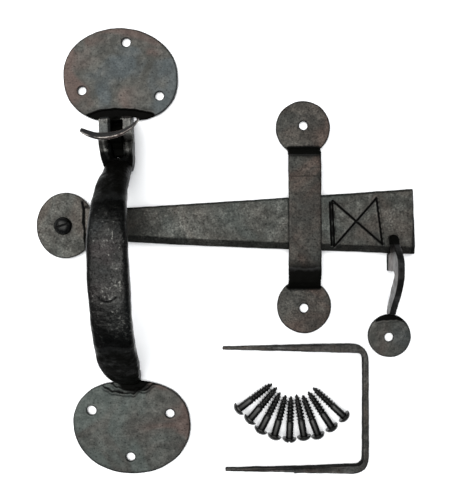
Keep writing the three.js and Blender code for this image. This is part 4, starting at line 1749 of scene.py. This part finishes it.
@dataclass
class DriveInStaple:
    """Square bar bent to a U, both legs drawn down to points."""

    def build(self) -> None:
        """Builds the staple."""
        # the staple's dark edge colour is painted shade on its rims
        iron = ForgedIron(
            "blackened_forged_staple_iron", base="#302f2d", rubbed="#4b4946", warm="#40362f",
            cool="#343a3a", edge="#0f0e0e", roughness=0.45, cloud_mm=12.0, edge_wear_and_shade=0.95, speckle=0.5)
        staple = ease_corners(copy_node("drive_in_staple", "square_bar_staple"), 0.75)
        HammerWork(facet_mm=6.0, facet_depth=0.12, wave_mm=18.0, wave_depth=0.18, scale_depth=0.05,
                   grain=0.4, soften=2).work(staple)
        drop_to_door(staple)
        # painted shade on the staple's sides
        blacken(staple, lambda p, n: 1.5 * painted_rim_shade(n))
        finish_piece(staple, iron.build(), ["drive_in_staple"], FIXED)


@dataclass(frozen=True)
class JapannedSteel:
    """Cold-headed steel screw stoved with black japan: glossy black, greyer where the crests rub."""

    name: str = "black_japanned_screw_steel"
    base: str = "#30302f"
    rubbed: str = "#484745"
    # black for the painted shade in the screws' recesses
    recess_shade_black: str = "#040404"
    roughness: float = 0.26
    speckle_mm: float = 1.6
    speckle_depth_mm: float = 0.06

    def build(self) -> bpy.types.Material:
        """Makes the japanned material.

        Returns:
            The material.
        """
        material = bpy.data.materials.new(self.name)
        material.use_nodes = True
        tree = material.node_tree
        tree.nodes.clear()
        place = add_node(tree, "ShaderNodeTexCoord").outputs["Object"]
        cells = 1 / (self.speckle_mm * MM)
        speckle = add_node(tree, "ShaderNodeTexNoise", {
            "Vector": place, "Scale": cells, "Detail": 3.0, "Roughness": 0.6}).outputs["Fac"]
        crest = add_node(tree, "ShaderNodeNewGeometry").outputs["Pointiness"]
        worn = add_node(tree, "ShaderNodeMapRange", {
            "Value": crest, "From Min": 0.53, "From Max": 0.6, "To Min": 0.0, "To Max": 0.7}).outputs[0]
        colour = add_node(tree, "ShaderNodeMix", {0: worn, 6: linear(self.base), 7: linear(self.rubbed)},
                          data_type="RGBA").outputs[2]
        laid = add_node(tree, "ShaderNodeAttribute", attribute_name="soot").outputs["Fac"]
        colour = add_node(tree, "ShaderNodeMix", {0: laid, 6: colour, 7: linear(self.recess_shade_black)},
                          data_type="RGBA").outputs[2]
        rough = add_node(tree, "ShaderNodeMapRange", {
            "Value": speckle, "From Min": 0.3, "From Max": 0.7,
            "To Min": self.roughness - 0.06, "To Max": self.roughness + 0.14}).outputs[0]
        bump = add_node(tree, "ShaderNodeBump", {
            "Height": speckle, "Strength": 0.4, "Distance": self.speckle_depth_mm * MM}).outputs[0]
        shader = add_node(tree, "ShaderNodeBsdfPrincipled", {
            "Base Color": colour, "Roughness": rough, "Metallic": 0.95, "Normal": bump})
        add_node(tree, "ShaderNodeOutputMaterial", {"Surface": shader.outputs[0]})
        return material


@dataclass
class SlottedScrew:
    """A slotted round-head wood screw that stands on its point, with a real thread."""

    under_head: float
    head_radius: float
    head_height: float
    core_radius: float
    shank_radius: float
    slot_width: float
    slot_depth: float
    pitch: float = 2.0
    crest: float = 0.85
    thread_end: float = 17.0
    point_length: float = 4.0
    rings_per_pitch: int = 12
    sides: int = 28
    wax: float = 0.0
    head_steps: tuple[int, ...] = (0, 12, 25, 38, 51, 64, 76, 86)
    thread_fade: float = 1.6

    def turn(self, name: str) -> bpy.types.Object:
        """Turns one screw: a sheet wrapped round the axis, its rings set by the screw's profile.

        Args:
            name: Object name.

        Returns:
            The closed screw, its point at the origin and its axis along +z.
        """
        thread_rings = int(self.thread_end / self.pitch * self.rings_per_pitch)
        heights = [self.thread_end * k / thread_rings for k in range(thread_rings + 1)]
        heights += [self.thread_end + 0.4, self.under_head - 0.01]
        head = [(self.head_radius * math.cos(a), self.under_head + self.head_height * math.sin(a))
                for a in map(math.radians, self.head_steps)]
        rings = len(heights) + 1 + len(head)
        deselect_all()
        bpy.ops.mesh.primitive_grid_add(x_subdivisions=self.sides, y_subdivisions=rings - 1, size=2.0)
        screw = take_primitive(name)

        def wrap(p: Vector) -> Vector:
            """Takes a point of the flat sheet to its place round the axis.

            Args:
                p: A point of the sheet.

            Returns:
                Its place on the screw.
            """
            angle = math.pi * (p.x + 1)
            ring = round((p.y + 1) / 2 * (rings - 1))
            if ring < len(heights):
                z = heights[ring]
                radius = self._thread_radius(z, angle)
            elif ring == len(heights):
                z, radius = self.under_head, self.head_radius * 0.97
            else:
                radius, z = head[ring - len(heights) - 1]
            return Vector((radius * math.cos(angle), radius * math.sin(angle), z))

        open_for_editing(reshape(screw, wrap))
        bpy.ops.mesh.remove_doubles(threshold=1e-4)
        bpy.ops.mesh.select_all(action="DESELECT")
        bpy.ops.mesh.select_non_manifold()
        bpy.ops.mesh.fill_holes(sides=0)
        close_facing_out()
        top = self.under_head + self.head_height
        reach = self.head_radius + 2
        slot = brick("driver_slot", (-reach, -self.slot_width / 2, top - self.slot_depth),
                     (reach, self.slot_width / 2, top + 2))
        cut(screw, slot)

        # painted shade in the slot, under the head and between the threads
        return blacken(screw, self._recess_shade_and_wax)

    def _recess_shade_and_wax(self, p: Vector, n: Vector) -> float:
        """Painted shade in the slot, under the head and between the threads, and as much darkening as the wax
        gives everywhere.

        Args:
            p: A point of the screw.
            n: Its normal, not used.

        Returns:
            How dark it is there, 0 to 1.
        """
        floor = self.under_head + self.head_height - self.slot_depth
        if abs(p.y) < self.slot_width / 2 + 0.02 and abs(p.z - floor) < 0.02:
            return 1.0
        rim = 0.7 if self.under_head - 0.6 < p.z < self.under_head + 0.3 else 0.0
        depth = self.core_radius + 0.75 * self.crest - math.hypot(p.x, p.y)
        deep = 0.6 * smoothstep(depth, 0.0, 0.4) if p.z < self.thread_end - 1 else 0.0
        return max(rim, deep, self.wax)

    def _thread_radius(self, z: float, angle: float) -> float:
        """Radius of the screw's body at a height and an angle.

        Args:
            z: Height above the point.
            angle: Angle round the axis, in radians.

        Returns:
            The radius.
        """
        taper = min(1.0, 0.16 + 0.84 * (z / self.point_length) ** 0.8)
        if z >= self.thread_end:
            return self.shank_radius
        phase = (z / self.pitch - angle / (2 * math.pi)) % 1.0
        flank = max(0.0, 1 - abs(phase - 0.5) / 0.27)
        blend = smoothstep(z, self.thread_end - self.thread_fade, self.thread_end)
        fade = smoothstep(z, 0.0, 1.2) * (1 - blend)
        root = (self.core_radius + 0.25 * smoothstep(z, 6.0, 12.0)) * taper
        root += (self.shank_radius - root) * blend
        return root + self.crest * flank ** 0.8 * fade * (0.45 + 0.55 * taper)


@dataclass
class Screws:
    """The bar's pivot screw and the fan of nine loose wood screws."""

    pivot: Flat = (-35.2, -95.3)
    pivot_under_head: float = 4.2
    pivot_length: float = 26.0
    pivot_slot_turn: float = math.radians(18)
    tip_lift: float = 1.45
    tilt: float = math.radians(6.2)
    fan: tuple[tuple[float, float, float, float], ...] = (
        (95.2, -194.2, 215.6, 20), (98.2, -196.4, 228.4, 75), (100.3, -199.6, 241.2, 130),
        (103.7, -201.2, 253.5, 10), (107.0, -201.9, 267.1, 95), (110.4, -200.9, 279.8, 150),
        (114.3, -201.3, 290.8, 40), (117.7, -199.1, 303.8, 110), (120.7, -196.6, 317.8, 165))

    def build(self) -> None:
        """Builds the pivot screw, turns one wood screw and copies it to each place."""
        japan = JapannedSteel().build()
        self._pivot_screw(japan)
        pattern = SlottedScrew(25.4, 4.45, 3.1, 1.6, 2.3, 1.1, 1.5).turn("wood_screw_pattern")
        for number, place in enumerate(self.fan, start=1):
            self._loose_screw(pattern, number, place, japan)
        bpy.data.objects.remove(pattern)

    def _pivot_screw(self, japan: bpy.types.Material) -> None:
        """The larger screw that the bar swings on.

        Args:
            japan: The screws' finish.
        """
        screw = SlottedScrew(self.pivot_length, 5.6, 3.6, 2.0, 2.7, 1.5, 1.7, thread_end=15.0,
                             wax=0.5).turn("bar_pivot_screw")
        point = Vector((self.pivot[0], self.pivot[1], self.pivot_under_head - self.pivot_length))
        screw.data.transform(Matrix.Translation(point) @ Matrix.Rotation(self.pivot_slot_turn, 4, "Z"))
        finish_piece(screw, japan, ["pivot_screw"], FIXED, smooth_angle=40.0)

    def _loose_screw(self, pattern: bpy.types.Object, number: int, place: tuple[float, float, float, float],
                     japan: bpy.types.Material) -> None:
        """One loose screw, lying on the edge of its head and its thread.

        Args:
            pattern: The screw that is copied.
            number: Its number in the fan.
            place: Its point's x and y, its bearing and its roll, in degrees.
            japan: The screws' finish.
        """
        x, y, bearing, roll = place
        screw = pattern.copy()
        screw.data = pattern.data.copy()
        screw.name = f"loose_wood_screw_{number}"
        bpy.context.scene.collection.objects.link(screw)
        a = math.radians(bearing)
        flat = math.cos(self.tilt)
        axis = Vector((math.cos(a) * flat, math.sin(a) * flat, math.sin(self.tilt)))
        lay = axis.to_track_quat("Z", "Y").to_matrix().to_4x4()
        screw.data.transform(Matrix.Translation((x, y, self.tip_lift)) @ lay
                             @ Matrix.Rotation(math.radians(roll), 4, "Z"))
        finish_piece(screw, japan, [f"wood_screw_{number}"], FIXED, smooth_angle=40.0)


# ----------------------------------------------------------------------- studio


@dataclass
class Studio:
    """Overhead camera, pale floor and soft light from the upper left."""

    centre: Flat = (0.0675, -0.1103)
    camera_height: float = 0.340
    seen_height: float = 0.315
    sensor: float = 24.0
    floor_below: float = 0.0004
    surround: tuple[float, float, float, float] = (0.86, 0.93, 1.0, 1.0)
    surround_strength: float = 0.28

    def build(self) -> None:
        """Sets up the camera, the floor and the lights."""
        self._camera()
        self._floor()
        self._lights()

    def _camera(self) -> None:
        """A camera straight above the layout."""
        camera = bpy.data.cameras.new("overhead_camera")
        camera.sensor_fit = "VERTICAL"
        camera.sensor_height = self.sensor
        camera.lens = self.sensor * self.camera_height / self.seen_height
        camera.clip_start = 0.01
        rig = bpy.data.objects.new("overhead_camera", camera)
        rig.location = (self.centre[0], self.centre[1], self.camera_height)
        bpy.context.scene.collection.objects.link(rig)
        bpy.context.scene.camera = rig

    def _floor(self) -> None:
        """A wide board just under the pieces."""
        deselect_all()
        bpy.ops.mesh.primitive_plane_add(size=6.0, location=(*self.centre, -self.floor_below))
        floor = bpy.context.object
        floor.name = "white_board"
        floor.data.materials.append(PaleFloor().build())

    def _lights(self) -> None:
        """A dim even surround, one large softbox overhead and a small lamp from the upper left."""
        bpy.context.scene.view_settings.view_transform = "Standard"
        world = bpy.data.worlds.new("white_surround")
        bpy.context.scene.world = world
        world.use_nodes = True
        sky = world.node_tree.nodes["Background"]
        sky.inputs["Color"].default_value = self.surround
        sky.inputs["Strength"].default_value = self.surround_strength
        self._lamp("overhead_softbox", (-0.12, -0.03, 1.0), 1.4, 24.0)
        self._lamp("upper_left_lamp", (-0.7, 0.5, 0.8), 0.35, 2.0)

    def _lamp(self, name: str, place: Point, size: float, power: float) -> None:
        """One square soft lamp that looks at the middle of the layout.

        Args:
            name: Object name.
            place: Where it hangs, in metres.
            size: Length of a side, in metres.
            power: Power in watts.
        """
        lamp = bpy.data.lights.new(name, "AREA")
        lamp.size = size
        lamp.energy = power
        holder = bpy.data.objects.new(name, lamp)
        holder.location = place
        aim = Vector((self.centre[0], self.centre[1], 0.0)) - Vector(place)
        holder.rotation_euler = aim.to_track_quat("-Z", "Y").to_euler()
        bpy.context.scene.collection.objects.link(holder)


def main() -> None:
    """Builds the studio and every sub-assembly in order."""
    logging.basicConfig(level=logging.INFO, format="%(name)s: %(message)s")
    for part in (Studio(), Handle(), ThumbLever(), LatchBar(), BarGuide(), Catch(), DriveInStaple(),
                 Screws()):
        LOG.info("building %s", type(part).__name__)
        part.build()


if __name__ == "__main__":
    main()
